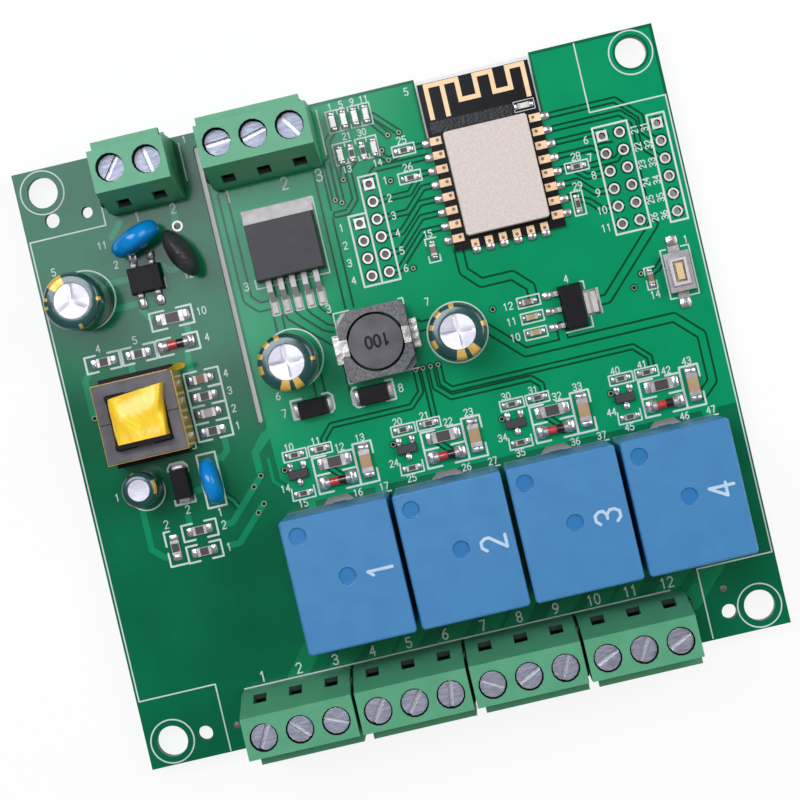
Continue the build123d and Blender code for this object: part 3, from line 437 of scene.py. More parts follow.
def smooth(mesh, angle=35):
    """Round faces are shaded smooth and edges stay crisp."""
    form = bmesh.new()
    form.from_mesh(mesh)
    limit = math.radians(angle)
    for face in form.faces:
        face.smooth = True
    for edge in form.edges:
        edge.smooth = not edge.is_manifold or edge.calc_face_angle(0) < limit
    form.to_mesh(mesh)
    form.free()


def baked(piece):
    """Applies the piece's modifiers to its mesh."""
    graph = bpy.context.evaluated_depsgraph_get()
    graph.update()
    mesh = bpy.data.meshes.new_from_object(piece.evaluated_get(graph))
    piece.modifiers.clear()
    piece.data = mesh
    return piece


def carried(piece, slot, body="board", instead_of=(), angle=35):
    """Puts a piece on its body, in place of the solids that it stands for."""
    if angle:
        smooth(piece.data, angle)
    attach(piece, body)
    if instead_of:
        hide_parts(*instead_of)
    return piece


def islands(node):
    """Each separate solid of a node, as its lowest and highest corner in millimetres."""
    form = bmesh.new()
    form.from_mesh(solids[node].data)
    bmesh.ops.remove_doubles(form, verts=form.verts, dist=1e-6)
    left = set(form.verts)
    boxes = []
    while left:
        reached = [left.pop()]
        group = list(reached)
        while reached:
            corner = reached.pop()
            for edge in corner.link_edges:
                other = edge.other_vert(corner)
                if other in left:
                    left.remove(other)
                    reached.append(other)
                    group.append(other)
        low = Vector([min(v.co[i] for v in group) / MM for i in range(3)])
        high = Vector([max(v.co[i] for v in group) / MM for i in range(3)])
        boxes.append((low, high))
    form.free()
    boxes.sort(key=lambda box: (round(box[0].x, 1), round(box[0].y, 1)))
    return boxes


def enclosed(tree, face, reach):
    """The share of the view from a face that its own solid closes off within a short reach."""
    normal = face.normal
    side = normal.orthogonal().normalized()
    other = normal.cross(side)
    start = face.calc_center_median() + normal * 1e-6
    rays = 12
    hits = 0
    for i in range(rays):
        angle = 2 * math.pi * i / rays
        aim = normal * 0.6 + (side * math.cos(angle) + other * math.sin(angle)) * 0.8
        if tree.ray_cast(start, aim, reach)[0] is not None:
            hits += 1
    return hits / rays


def dressed(node, finishes, slot, pick=None, bevel=0.0, body="board", shade_area=0.0):
    """A finer copy of a solid: rounded edges, and a finish chosen for each face.

    pick gets a face's middle measured from its own solid's middle, that solid's size and
    the face's normal, and gives the place in the list of finishes. Small faces that lie
    enclosed get the last finish, up to shade_area in square millimetres: a painted shade.
    """
    form = bmesh.new()
    form.from_mesh(solids[node].data)
    bmesh.ops.remove_doubles(form, verts=form.verts, dist=1e-6)
    bmesh.ops.dissolve_limit(form, angle_limit=math.radians(1), verts=form.verts, edges=form.edges)
    boxes = islands(node)
    for face in form.faces if pick else ():
        middle = face.calc_center_median() / MM
        for low, high in boxes:
            inside = all(low[i] - 0.01 <= middle[i] <= high[i] + 0.01 for i in range(3))
            if inside:
                face.material_index = pick(middle - (low + high) / 2, high - low, face.normal)
                break
    if shade_area:
        tree = BVHTree.FromBMesh(form)
        small = [face for face in form.faces if face.calc_area() < shade_area * MM * MM]
        for face in small:
            if enclosed(tree, face, shade_reach * MM) > shade_share:
                face.material_index = len(finishes) - 1
    mesh = bpy.data.meshes.new(node + "_look")
    form.to_mesh(mesh)
    form.free()
    for entry in finishes:
        mesh.materials.append(look[entry])
    piece = shown(mesh.name, mesh)
    if bevel:
        rounding = piece.modifiers.new("rounded edges", "BEVEL")
        rounding.width = bevel * MM
        rounding.segments = 2
        rounding.limit_method = "ANGLE"
        rounding.angle_limit = math.radians(40)
        baked(piece)
    smooth(piece.data)
    even = piece.modifiers.new("even shading", "WEIGHTED_NORMAL")
    even.keep_sharp = True
    baked(piece)
    return carried(piece, slot, body, (node,), None)


def turned(profile, place, sides=48):
    """Faces of a profile of (radius, height) points spun about an upright axis at a place."""
    points = []
    faces = []
    levels = []
    for radius, height in profile:
        around = circle(*place, radius, sides) if radius > 1e-6 else [place]
        levels.append(list(range(len(points), len(points) + len(around))))
        points += [(x * MM, y * MM, height * MM) for x, y in around]
    for lower, upper in zip(levels, levels[1:]):
        for i in range(sides):
            j = (i + 1) % sides
            corners = [lower[i % len(lower)], lower[j % len(lower)], upper[j % len(upper)],
                       upper[i % len(upper)]]
            kept = list(dict.fromkeys(corners))
            if len(kept) > 2:
                faces.append(kept)
    return points, faces


def mesh_of(name, points, faces, finishes):
    mesh = bpy.data.meshes.new(name)
    mesh.from_pydata(points, [], faces)
    mesh.validate()
    facing_out(mesh)
    for entry in finishes:
        mesh.materials.append(look[entry])
    return mesh


def facing_out(mesh, weld=0.0):
    """Turns every face outward, after joining points that lie closer than weld."""
    form = bmesh.new()
    form.from_mesh(mesh)
    if weld:
        bmesh.ops.remove_doubles(form, verts=form.verts, dist=weld)
    bmesh.ops.recalc_face_normals(form, faces=form.faces)
    form.to_mesh(mesh)
    form.free()


def joined(name, parts, entry):
    """One mesh in one finish out of several lists of points and faces."""
    points = []
    faces = []
    for part_points, part_faces in parts:
        start = len(points)
        points += part_points
        faces += [[start + i for i in face] for face in part_faces]
    return mesh_of(name, points, faces, [entry])


def ring_faces(rings, sides):
    """Faces between rings of points that lie one after another, closed at both ends."""
    faces = []
    for i in range(rings - 1):
        for j in range(sides):
            k = (j + 1) % sides
            faces.append([i * sides + j, i * sides + k, (i + 1) * sides + k, (i + 1) * sides + j])
    faces.append(list(range(sides)))
    faces.append(list(range((rings - 1) * sides, rings * sides)))
    return faces


def circle(x, y, radius, sides=24, turn=0.0):
    return [(x + radius * math.cos(turn + 2 * math.pi * i / sides),
             y + radius * math.sin(turn + 2 * math.pi * i / sides)) for i in range(sides)]


def rectangle(x0, y0, x1, y1):
    return [(x0, y0), (x1, y0), (x1, y1), (x0, y1)]


def closed(outline):
    return outline + outline[:1]


def flat_sheet(name, outlines, low, thickness, entry, slot):
    """A thin flat layer; an outline inside another one is a hole in it."""
    curve = bpy.data.curves.new(name, "CURVE")
    curve.dimensions = "2D"
    curve.fill_mode = "BOTH"
    curve.extrude = thickness / 2 * MM
    for outline in outlines:
        spline = curve.splines.new("POLY")
        spline.points.add(len(outline) - 1)
        spline.use_cyclic_u = True
        for point, (x, y) in zip(spline.points, outline):
            point.co = (x * MM, y * MM, 0, 1)
    holder = bpy.data.objects.new(name + "_outline", curve)
    bpy.context.scene.collection.objects.link(holder)
    graph = bpy.context.evaluated_depsgraph_get()
    graph.update()
    mesh = bpy.data.meshes.new_from_object(holder.evaluated_get(graph))
    bpy.data.objects.remove(holder)
    mesh.name = name
    mesh.transform(Matrix.Translation((0, 0, (low + thickness / 2) * MM)))
    facing_out(mesh, 1e-7)
    mesh.materials.clear()
    mesh.materials.append(look[entry])
    return carried(shown(name, mesh), slot)


# Node trees
def new_tree(name, sockets):
    """A tree, what it is given, and its end. sockets gives the kind of each value it needs."""
    tree = bpy.data.node_groups.new(name, "GeometryNodeTree")
    for label, kind in {"Geometry": "Geometry", **sockets}.items():
        tree.interface.new_socket(label, in_out="INPUT", socket_type="NodeSocket" + kind)
    tree.interface.new_socket("Geometry", in_out="OUTPUT", socket_type="NodeSocketGeometry")
    return tree, add(tree, "NodeGroupInput").outputs, add(tree, "NodeGroupOutput")


def grown(piece, tree, values):
    """Runs a tree on a piece and keeps what it makes as the piece's own mesh."""
    modifier = piece.modifiers.new(tree.name, "NODES")
    modifier.node_group = tree
    for item in tree.interface.items_tree:
        if item.in_out == "INPUT" and item.name in values:
            modifier[item.identifier] = values[item.name]
    return baked(piece)


# Each of these adds a step to a tree and gives what comes out of it
def cube(tree, size):
    return add(tree, "GeometryNodeMeshCube", {"Size": size}).outputs["Mesh"]


def soft_block(tree, size=(1.0, 1.0, 1.0)):
    inputs = {"Mesh": cube(tree, size), "Level": 2, "Edge Crease": mound_crease}
    return add(tree, "GeometryNodeSubdivisionSurface", inputs).outputs["Mesh"]


def moved(tree, form, place, scale=(1.0, 1.0, 1.0)):
    inputs = {"Geometry": form, "Translation": place, "Scale": scale}
    return add(tree, "GeometryNodeTransform", inputs).outputs["Geometry"]


def painted(tree, form, paint):
    return add(tree, "GeometryNodeSetMaterial", {"Geometry": form, "Material": paint}).outputs["Geometry"]


def together(tree, *forms):
    whole = add(tree, "GeometryNodeJoinGeometry")
    for form in forms:
        tree.links.new(form, whole.inputs["Geometry"])
    return whole.outputs["Geometry"]


def one_mesh(tree, form):
    return add(tree, "GeometryNodeRealizeInstances", {"Geometry": form}).outputs["Geometry"]


def repeated(tree, points, form, **more):
    inputs = {"Points": points, "Instance": form, **more}
    return add(tree, "GeometryNodeInstanceOnPoints", inputs).outputs["Instances"]


def on_corners(tree, given, form, **more):
    """The form at each corner of the mesh that the tree is given."""
    spots = add(tree, "GeometryNodeMeshToPoints", {"Mesh": given["Geometry"]}, mode="VERTICES")
    return one_mesh(tree, repeated(tree, spots.outputs["Points"], form, **more))


def named_value(tree, name, kind):
    return add(tree, "GeometryNodeInputNamedAttribute", {"Name": name}, data_type=kind).outputs["Attribute"]


def ended(tree, end, form):
    tree.links.new(form, end.inputs["Geometry"])
    return tree


def stepped_points(tree, source, mode, base):
    """A point for each edge or corner, each a little higher or lower, so no two tops share a plane."""
    count = add(tree, "GeometryNodeInputIndex").outputs["Index"]
    part = maths(tree, "FRACT", maths(tree, "MULTIPLY", count, golden_share))
    rise = vector_of(tree, z=maths(tree, "MULTIPLY_ADD", part, layer_step * MM, base * MM))
    place = add(tree, "GeometryNodeInputPosition").outputs["Position"]
    lifted = add(tree, "ShaderNodeVectorMath", {0: place, 1: rise}, operation="ADD").outputs["Vector"]
    inputs = {"Mesh": source, "Position": lifted}
    return add(tree, "GeometryNodeMeshToPoints", inputs, mode=mode).outputs["Points"]


def line_tree():
    """Draws each edge as a bar and rounds off each corner, as a photoplotter does."""
    tree, given, end = new_tree("plotted line", {"Line Width": "Float", "Thickness": "Float",
                                                 "Square Corners": "Bool", "Finish": "Material"})
    width, thickness = given["Line Width"], given["Thickness"]
    ends = add(tree, "GeometryNodeInputMeshEdgeVertices").outputs
    run = add(tree, "ShaderNodeVectorMath", {0: ends["Position 2"], 1: ends["Position 1"]},
              operation="SUBTRACT").outputs["Vector"]
    stored = add(tree, "GeometryNodeStoreNamedAttribute",
                 {"Name": "run", "Geometry": given["Geometry"], "Value": run},
                 data_type="FLOAT_VECTOR", domain="EDGE").outputs["Geometry"]
    read = named_value(tree, "run", "FLOAT_VECTOR")
    length = add(tree, "ShaderNodeVectorMath", {0: read}, operation="LENGTH").outputs["Value"]
    aim = add(tree, "FunctionNodeAlignRotationToVector", {"Vector": read}, axis="X").outputs["Rotation"]
    bars = repeated(tree, stepped_points(tree, stored, "EDGES", 0.0),
                    cube(tree, vector_of(tree, 1.0, width, thickness)),
                    Rotation=aim, Scale=vector_of(tree, length, 1.0, 1.0))
    dot = add(tree, "GeometryNodeMeshCylinder",
              {"Vertices": 10, "Radius": maths(tree, "MULTIPLY", width, 0.5), "Depth": thickness},
              fill_type="NGON").outputs["Mesh"]
    square = cube(tree, vector_of(tree, width, width, thickness))
    inputs = {"Switch": given["Square Corners"], "False": dot, "True": square}
    choice = add(tree, "GeometryNodeSwitch", inputs, input_type="GEOMETRY").outputs["Output"]
    dots = repeated(tree, stepped_points(tree, given["Geometry"], "VERTICES", layer_step * 1.1), choice)
    whole = one_mesh(tree, together(tree, bars, dots))
    return ended(tree, end, painted(tree, whole, given["Finish"]))


def ring_tree():
    """A flat ring of a given hole and width round each point."""
    tree, given, end = new_tree("pad ring", {"Hole Radius": "Float", "Ring Width": "Float",
                                             "Thickness": "Float", "Finish": "Material"})
    radius = maths(tree, "MULTIPLY_ADD", given["Ring Width"], 0.5, given["Hole Radius"])
    path = add(tree, "GeometryNodeCurvePrimitiveCircle", {"Resolution": 20, "Radius": radius},
               mode="RADIUS")
    section = add(tree, "GeometryNodeCurvePrimitiveQuadrilateral",
                  {"Width": given["Ring Width"], "Height": given["Thickness"]}, mode="RECTANGLE")
    ring = add(tree, "GeometryNodeCurveToMesh",
               {"Curve": path.outputs["Curve"], "Profile Curve": section.outputs["Curve"]})
    whole = on_corners(tree, given, ring.outputs["Mesh"])
    return ended(tree, end, painted(tree, whole, given["Finish"]))


def joint_tree():
    """A solder joint that climbs a lead in two slopes; a negative height hangs under the board."""
    tree, given, end = new_tree("solder joint", {"Foot Radius": "Float", "Neck Radius": "Float",
                                                 "Height": "Float", "Finish": "Material"})
    foot, neck, height = given["Foot Radius"], given["Neck Radius"], given["Height"]
    waist = maths(tree, "MULTIPLY_ADD", foot, joint_waist, neck)
    step = maths(tree, "MULTIPLY", height, joint_step)
    rise = maths(tree, "MULTIPLY", height, 1 - joint_step)

    def slope(bottom, top, depth):
        inputs = {"Vertices": 14, "Radius Bottom": bottom, "Radius Top": top, "Depth": depth}
        return add(tree, "GeometryNodeMeshCone", inputs, fill_type="NGON").outputs["Mesh"]

    upper = moved(tree, slope(waist, neck, rise), vector_of(tree, z=step))
    whole = on_corners(tree, given, together(tree, slope(foot, waist, step), upper))
    return ended(tree, end, painted(tree, whole, given["Finish"]))


def mound_tree():
    """A soft-edged mound of solder at each point; its lower half lies inside the board."""
    tree, given, end = new_tree("solder mound", {"Size": "Vector", "Finish": "Material"})
    whole = on_corners(tree, given, soft_block(tree, given["Size"]))
    return ended(tree, end, painted(tree, whole, given["Finish"]))


def chip_tree():
    """A two-ended chip part: body, film, metal ends, and a mound of solder at each end."""
    sizes = ("Length", "Width", "Height", "End Length", "Film Thickness", "Solder Reach")
    paints = ("Body Finish", "Film Finish", "End Finish", "Solder Finish")
    tree, given, end = new_tree("chip part", {**dict.fromkeys(sizes, "Float"),
                                              **dict.fromkeys(paints, "Material")})
    length, width, height, cap, film, reach = [given[label] for label in sizes]

    def sum_of(first, factor, second=0.0):
        """second + factor * first"""
        return maths(tree, "MULTIPLY_ADD", first, factor, second)

    def part(form, paint, place, scale=(1.0, 1.0, 1.0)):
        return painted(tree, moved(tree, form, place, scale), given[paint])

    inner = sum_of(cap, -2.0, length)
    low_height = sum_of(film, -1.0, height)
    body = cube(tree, vector_of(tree, inner, sum_of(film, -1.0, width), low_height))
    top = cube(tree, vector_of(tree, inner, sum_of(film, -4.0, width), sum_of(film, 0.5)))
    parts = [part(body, "Body Finish", vector_of(tree, z=sum_of(low_height, 0.5))),
             part(top, "Film Finish", vector_of(tree, z=sum_of(film, 0.25, low_height)))]
    mound = soft_block(tree)
    mound_size = vector_of(tree, sum_of(cap, 0.4, reach), sum_of(width, 1.14), sum_of(height, 1.5))
    end_place = sum_of(inner, 0.5, sum_of(cap, 0.5))
    mound_place = sum_of(reach, 0.5, sum_of(cap, -0.2, sum_of(length, 0.5)))
    for side in (1.0, -1.0):
        parts.append(part(cube(tree, vector_of(tree, cap, width, height)), "End Finish",
                          vector_of(tree, sum_of(end_place, side), z=sum_of(height, 0.5))))
        parts.append(part(mound, "Solder Finish", vector_of(tree, sum_of(mound_place, side)), mound_size))
    spin = vector_of(tree, z=named_value(tree, "turn", "FLOAT"))
    return ended(tree, end, on_corners(tree, given, together(tree, *parts), Rotation=spin))


plotted_line = line_tree()
pad_ring = ring_tree()
solder_joint = joint_tree()
chip_part = chip_tree()
solder_mound = mound_tree()


def plotted(name, paths, width, lift, entry, slot="board_mask", square=False, low=board_top):
    """Lines of one width along paths of (x, y) points. lift is how high the layer stands above low."""
    points = []
    edges = []
    for path in paths:
        start = len(points)
        points += [(x * MM, y * MM, (low + (lift - sunk) / 2) * MM) for x, y in path]
        edges += [(start + i, start + i + 1) for i in range(len(path) - 1)]
    mesh = bpy.data.meshes.new(name)
    mesh.from_pydata(points, edges, [])
    piece = shown(name, mesh)
    grown(piece, plotted_line, {"Line Width": width * MM, "Thickness": (lift + sunk) * MM,
                                "Square Corners": square, "Finish": look[entry]})
    return carried(piece, slot)


def at_points(name, places, tree, values, slot, z=board_top, turns=None):
    """One form at each (x, y) place."""
    mesh = bpy.data.meshes.new(name)
    mesh.from_pydata([(x * MM, y * MM, z * MM) for x, y in places], [], [])
    if turns is not None:
        store = mesh.attributes.new("turn", "FLOAT", "POINT")
        for i, turn in enumerate(turns):
            store.data[i].value = turn
    piece = shown(name, mesh)
    grown(piece, tree, values)
    return carried(piece, slot)


def mounds(name, places):
    """Mounds of solder on the board; half of each lies under its face, out of sight."""
    length, width, height = mound_sizes[name]
    size = (length * mound_spread * MM, width * mound_spread * MM, 2 * height * mound_spread * MM)
    return at_points(name, places, solder_mound, {"Size": size, "Finish": look["solder"]}, "tinned_metal")


def rings(name, places, hole, width, thickness, entry, middle, slot="tinned_metal"):
    """Flat rings at (x, y) places; hole is a radius, and middle is the height of the ring's middle."""
    values = {"Hole Radius": hole * MM, "Ring Width": width * MM, "Thickness": thickness * MM,
              "Finish": look[entry]}
    return at_points(name, places, pad_ring, values, slot, middle)


def cones(name, places, foot, neck, height, entry, slot="tinned_metal", z=board_top):
    """Solder joints, or other low cones, at (x, y) places; foot and neck are radii."""
    values = {"Foot Radius": foot * MM, "Neck Radius": neck * MM, "Height": height * MM,
              "Finish": look[entry]}
    return at_points(name, places, solder_joint, values, slot, z)


# Board layers
header_points = [(x, y - i * header_pitch) for x, y, count in header_rows for i in range(count)]
first_pads = [(44.1, 29.55), (36.15, 29.55), (2.62, 30.55), (0.08, 25.45)]
round_pads = [p for p in header_points if p not in first_pads]
spare_hole = (-25.15, 31.05)
corner_holes = [(sx * 42.75, sy * 40.05) for sx in (-1, 1) for sy in (-1, 1)]
ground_pads = [p for p in round_pads if p[0] > 30 and p[1] < 20]

pour_edge = [(-19.35, 42.95), (11.8, 42.95), (11.8, 34.7), (28.95, 34.7), (28.95, 42.95), (46.05, 42.95),
             (46.05, -11.35), (43.2, -11.35), (42.6, -12.9), (41.2, -12.9), (40.9, -11.35), (-4.6, -11.35),
             (-5.1, -12.9), (-6.3, -12.9), (-6.4, -11.35), (-15.1, -11.35), (-15.1, -12.9), (-16.2, -12.9),
             (-16.2, -11.1), (-18.0, -10.6), (-18.2, -8.2), (-19.2, -7.2), (-19.3, -1.2), (-21.3, -3.0),
             (-21.3, -5.7), (-22.3, -5.7), (-22.3, -2.55), (-19.35, 0.35)]


def copper_pour():
    """The wide copper that fills the low-voltage side, drilled where the board is."""
    outlines = [pour_edge]
    outlines += [circle(x, y, header_hole / 2 + 0.02, 16) for x, y in header_points]
    outlines += [circle(x, y, corner_hole_clearance, 40) for x, y in corner_holes if x > 0 and y > 0]
    flat_sheet("copper_pour", outlines, board_top - 0.01, pour_lift + 0.01, "pour", "board_mask")


# Tracks in the pour: centre lines, each drawn over a wider gap
module_tracks = [
    [(10.0, 34.1), (11.6, 34.1)],
    [(3.0, 31.5), (3.9, 32.4), (11.6, 32.4)],
    [(10.0, 30.2), (11.6, 30.2)],
    [(3.5, 27.95), (7.9, 27.95), (9.3, 29.4)],
    [(3.5, 25.47), (7.1, 25.47), (9.9, 28.25), (11.6, 28.25)],
    [(3.5, 22.93), (5.7, 22.93), (9.0, 26.25), (11.6, 26.25)],
    [(3.5, 20.39), (4.9, 20.39), (8.75, 24.25), (11.6, 24.25)],
    [(3.5, 17.85), (4.2, 17.85), (8.5, 22.2), (11.6, 22.2)],
    [(29.0, 34.1), (39.0, 34.1), (42.05, 31.05), (42.05, 28.7), (43.3, 27.4)],
    [(29.0, 32.15), (39.3, 32.15), (40.95, 30.5), (40.95, 27.2), (43.2, 24.9)],
    [(29.0, 30.2), (35.2, 30.2)],
    [(29.0, 28.2), (34.4, 28.2), (35.4, 27.4)],
    [(29.0, 26.3), (30.6, 26.3)],
    [(31.6, 25.6), (32.9, 24.45), (35.2, 24.45)],
    [(29.0, 24.2), (31.3, 24.2), (33.5, 21.95), (35.2, 21.95)],
    [(29.0, 22.2), (30.6, 22.2)],
    [(31.3, 21.5), (32.4, 21.0), (33.9, 19.4), (35.2, 19.4)],
    [(33.0, 25.9), (37.4, 25.9), (38.2, 26.6)],
    [(38.9, 9.3), (39.5, 9.6), (40.6, 10.7)],
    [(5.2, 38.7), (6.8, 36.7)],
    [(5.3, 39.9), (8.4, 36.7)],
    [(4.7, 34.8), (6.1, 33.2), (7.4, 33.5)],
    [(1.3, 34.2), (0.25, 33.2), (0.25, 28.9), (-1.2, 27.4), (-2.9, 27.4)],
    [(-0.35, 33.9), (-0.75, 32.0)],
    [(-0.9, 38.6), (-1.7, 37.8), (-1.7, 28.9)],
    [(-1.0, 35.4), (-2.5, 34.9), (-2.5, 29.4)],
]
driver_tracks = [
    [(3.05, 3.5), (3.05, 0.3), (1.25, -1.45), (-10.4, -1.45), (-11.9, -3.1), (-11.9, -3.9)],
    [(4.1, 3.5), (4.1, -3.6)],
    [(5.2, 3.5), (5.2, 0.45), (7.1, -1.4), (18.65, -1.4), (19.9, -2.6), (19.9, -3.6)],
    [(6.3, 3.5), (6.3, 0.8), (7.4, -0.35), (33.65, -0.35), (35.6, -2.3), (35.6, -3.6)],
]
for place_x, _ in cells(-0.35, 0):
    driver_tracks.append([(place_x - 15.85, -4.1), (place_x - 15.85, -6.7), (place_x - 13.9, -8.7),
                          (place_x - 13.5, -9.6)])
supply_tracks = [
    [(12.85, 18.6), (12.85, 15.5), (14.9, 13.35), (19.4, 13.35), (21.55, 11.2), (21.55, 9.4)],
    [(14.2, 6.9), (18.75, 2.35), (40.2, 2.35), (43.45, -0.9), (43.45, -7.6), (41.7, -9.2)],
    [(24.4, 2.35), (24.4, 4.7)],
    [(30.8, 7.05), (31.7, 7.05), (40.4, 15.8)],
    [(-17.95, 33.8), (-17.85, 18.65), (-16.4, 17.15), (-14.6, 17.15)],
]
gap_lines = [
    [(-4.65, 34.0), (-4.65, 14.2)], [(-3.45, 27.0), (-3.45, 14.2)], [(-3.4, 34.0), (-3.4, 28.2)],
    [(-13.2, 15.4), (-12.9, 14.6), (-7.7, 9.6)], [(-11.6, 15.4), (-10.9, 14.4), (-8.4, 11.9), (-7.0, 11.3)],
    [(-9.9, 15.4), (-9.5, 14.6), (-7.6, 12.6), (-6.7, 12.2)], [(-8.2, 15.4), (-7.9, 14.8), (-6.7, 13.7)],
    [(-14.8, 15.4), (-14.8, 12.9)], [(-13.6, 15.4), (-13.6, 13.0)],
    [(-11.5, 5.0), (-11.5, 3.1)], [(-10.15, 5.8), (-10.15, 3.3)], [(-6.75, 6.6), (-6.75, 2.4)],
    [(5.0, 10.3), (5.3, 9.95), (6.8, 9.95)], [(5.0, 8.65), (6.3, 8.65)],
    [(35.1, 28.5), (36.2, 28.5), (37.4, 28.4)], [(40.3, 24.5), (40.3, 19.0)],
]
mains_tracks = [
    [(-27.1, 17.6), (-27.1, 16.0)], [(-27.9, 13.6), (-28.0, 10.3)],
    [(-42.2, 13.6), (-43.0, 12.6), (-43.0, 7.4)], [(-36.1, 13.4), (-36.1, 12.2)],
    [(-32.8, 20.6), (-31.9, 19.3)], [(-36.4, 21.6), (-33.0, 21.6)], [(-36.6, 25.3), (-31.5, 25.3)],
    [(-39.3, -6.8), (-39.3, -12.9), (-37.6, -14.4)], [(-33.2, -9.2), (-33.2, -10.4)],
    [(-27.4, -2.2), (-26.6, -2.4), (-25.6, -1.4), (-25.6, 0.2)], [(-31.4, -6.1), (-30.2, -6.1)],
    [(-28.4, -11.65), (-27.2, -11.65), (-23.1, -7.45), (-21.8, -6.1)],
    [(-28.4, -14.75), (-26.9, -14.75), (-23.3, -11.1), (-22.25, -10.05), (-22.25, -10.0)],
    [(-25.2, 34.0), (-25.2, 31.6)], [(-29.0, 26.6), (-27.6, 25.2), (-26.0, 25.2)],
    [(-33.0, 33.4), (-34.6, 31.6)], [(-20.0, -0.5), (-21.8, -2.6)], [(-28.0, -5.6), (-30.0, -5.6)],
]
thin_mains_tracks = [[(-20.2, -4.15), (-20.2, -7.3), (-18.9, -8.5)]]
relay_tracks = []
for place_x, _ in cells(0, 0):
    relay_tracks += [[(place_x - 6.2, -29.0), (place_x - 11.5, -35.5)],
                     [(place_x + 0.4, -30.0), (place_x - 5.4, -35.5)],
                     [(place_x + 5.8, -29.0), (place_x + 0.2, -35.5)]]
relay_tracks.append([(38.5, -32.4), (33.6, -37.4)])
via_places = [(3.05, 3.5), (4.1, 3.5), (5.2, 3.5), (6.3, 3.5), (6.8, 36.65), (8.4, 36.65), (5.5, 34.75),
              (6.1, 33.2), (-0.73, 31.98), (-2.51, 29.43), (-1.69, 28.86), (5.7, 30.3), (6.0, 17.55),
              (37.1, 9.4)]
via_places += [(x - 0.35, -4.08) for x, _ in cells(-15.8, 0)]
bare_via_places = [(-21.78, -6.1), (-23.09, -7.43), (-22.26, -10.09), (-23.3, -11.14), (-42.92, 7.19),
                   (15.6, 9.3), (35.7, 7.7)]
bare_via_places += [(x - 14.65, -6.1) for x, _ in cells(8.45, 0)]


def board_layers():
    copper_pour()
    fine = module_tracks + driver_tracks
    plotted("track_gaps", fine, fine_track + 2 * gap_line, gap_lift, "gap")
    plotted("supply_gaps", supply_tracks, supply_track + 2 * gap_line, gap_lift, "gap")
    plotted("pour_gaps", gap_lines, gap_line, gap_lift + 0.001, "gap")
    plotted("fine_tracks", fine + thin_mains_tracks, fine_track, track_lift, "pour")
    plotted("supply_tracks", supply_tracks, supply_track, track_lift, "pour")
    plotted("mains_tracks", mains_tracks, mains_track, track_lift - 0.004, "mains track")
    plotted("relay_tracks", relay_tracks, relay_track, pour_lift - 0.004, "relay track")
    arms = []
    for x, y in ground_pads:
        for dx, dy in ((1, 0), (-1, 0), (0, 1), (0, -1)):
            arms.append([(x + dx * 0.7, y + dy * 0.7), (x + dx * 1.08, y + dy * 1.08)])
    plotted("thermal_spokes", arms, spoke_line, track_lift, "pour")


def pads_and_holes():
    radius = header_hole / 2
    pad_ring_width = (header_pad - header_hole) / 2
    clear_width = (header_clearance - header_hole) / 2
    gap_thickness = gap_lift + 0.003
    gap_middle = board_top + gap_lift / 2
    open_holes = header_points + [spare_hole]
    pad_middle = board_top + pad_lift / 2
    rings("header_pads", round_pads + [spare_hole], radius, pad_ring_width, pad_lift, "pad", pad_middle)
    rings("header_clearances", header_points, radius, clear_width, gap_thickness, "gap", gap_middle,
          "board_mask")
    squares = []
    for x, y in first_pads:
        half = header_pad / 2
        squares += [rectangle(x - half, y - half, x + half, y + half), circle(x, y, radius, 16)]
    flat_sheet("first_pads", squares, board_top, pad_lift, "pad", "tinned_metal")
    rings("header_bores", open_holes, radius - bore_wall, bore_wall, board_top, "bore",
          board_top / 2 + pad_lift / 2)
    vias = [("small", via_places, *small_via), ("open", bare_via_places, *open_via)]
    for name, places, hole, width in vias:
        rings(name + "_via_rings", places, hole, width, pad_lift, "via", board_top + 0.03)
        # A dark cone on each via stands for the shade inside its hole: painted shade.
        cones(name + "_via_hole_shades", places, hole, hole * 0.96, 0.05, "via hole shade", "board_mask")
    rings("via_clearances", via_places + bare_via_places, *via_clearance, gap_thickness, "gap", gap_middle,
          "board_mask")
    cones("fiducials", [(38.31, -36.62), (-33.26, -39.91)], 0.5, 0.3, 0.06, "bore")


# Print on the board
digit_strokes = {
    "0": [[(0, 1), (0, 3), (0.6, 4), (1.4, 4), (2, 3), (2, 1), (1.4, 0), (0.6, 0), (0, 1)]],
    "1": [[(0.4, 3.2), (1.1, 4), (1.1, 0)]],
    "2": [[(0, 3.3), (0.6, 4), (1.5, 4), (2, 3.3), (2, 2.6), (0, 0), (2, 0)]],
    "3": [[(0, 3.4), (0.6, 4), (1.5, 4), (2, 3.3), (2, 2.6), (1.3, 2.1), (0.7, 2.1)],
          [(1.3, 2.1), (2, 1.5), (2, 0.7), (1.5, 0), (0.6, 0), (0, 0.6)]],
    "4": [[(1.6, 0), (1.6, 4), (0, 1.3), (2.1, 1.3)]],
    "5": [[(1.9, 4), (0.3, 4), (0.1, 2.3), (1.4, 2.4), (2, 1.7), (2, 0.7), (1.4, 0), (0.5, 0), (0, 0.5)]],
    "6": [[(1.7, 4), (0.7, 3.4), (0, 2), (0, 0.8), (0.6, 0), (1.4, 0), (2, 0.8), (2, 1.6), (1.4, 2.3),
           (0.6, 2.3), (0, 1.6)]],
    "7": [[(0, 4), (2, 4), (0.8, 0)]],
    "8": [[(0.6, 2.1), (0, 2.8), (0, 3.3), (0.6, 4), (1.4, 4), (2, 3.3), (2, 2.8), (1.4, 2.1), (0.6, 2.1),
           (0, 1.4), (0, 0.7), (0.6, 0), (1.4, 0), (2, 0.7), (2, 1.4), (1.4, 2.1)]],
}
digit_strokes["9"] = [[(2 - x, 4 - y) for x, y in path] for path in digit_strokes["6"]]


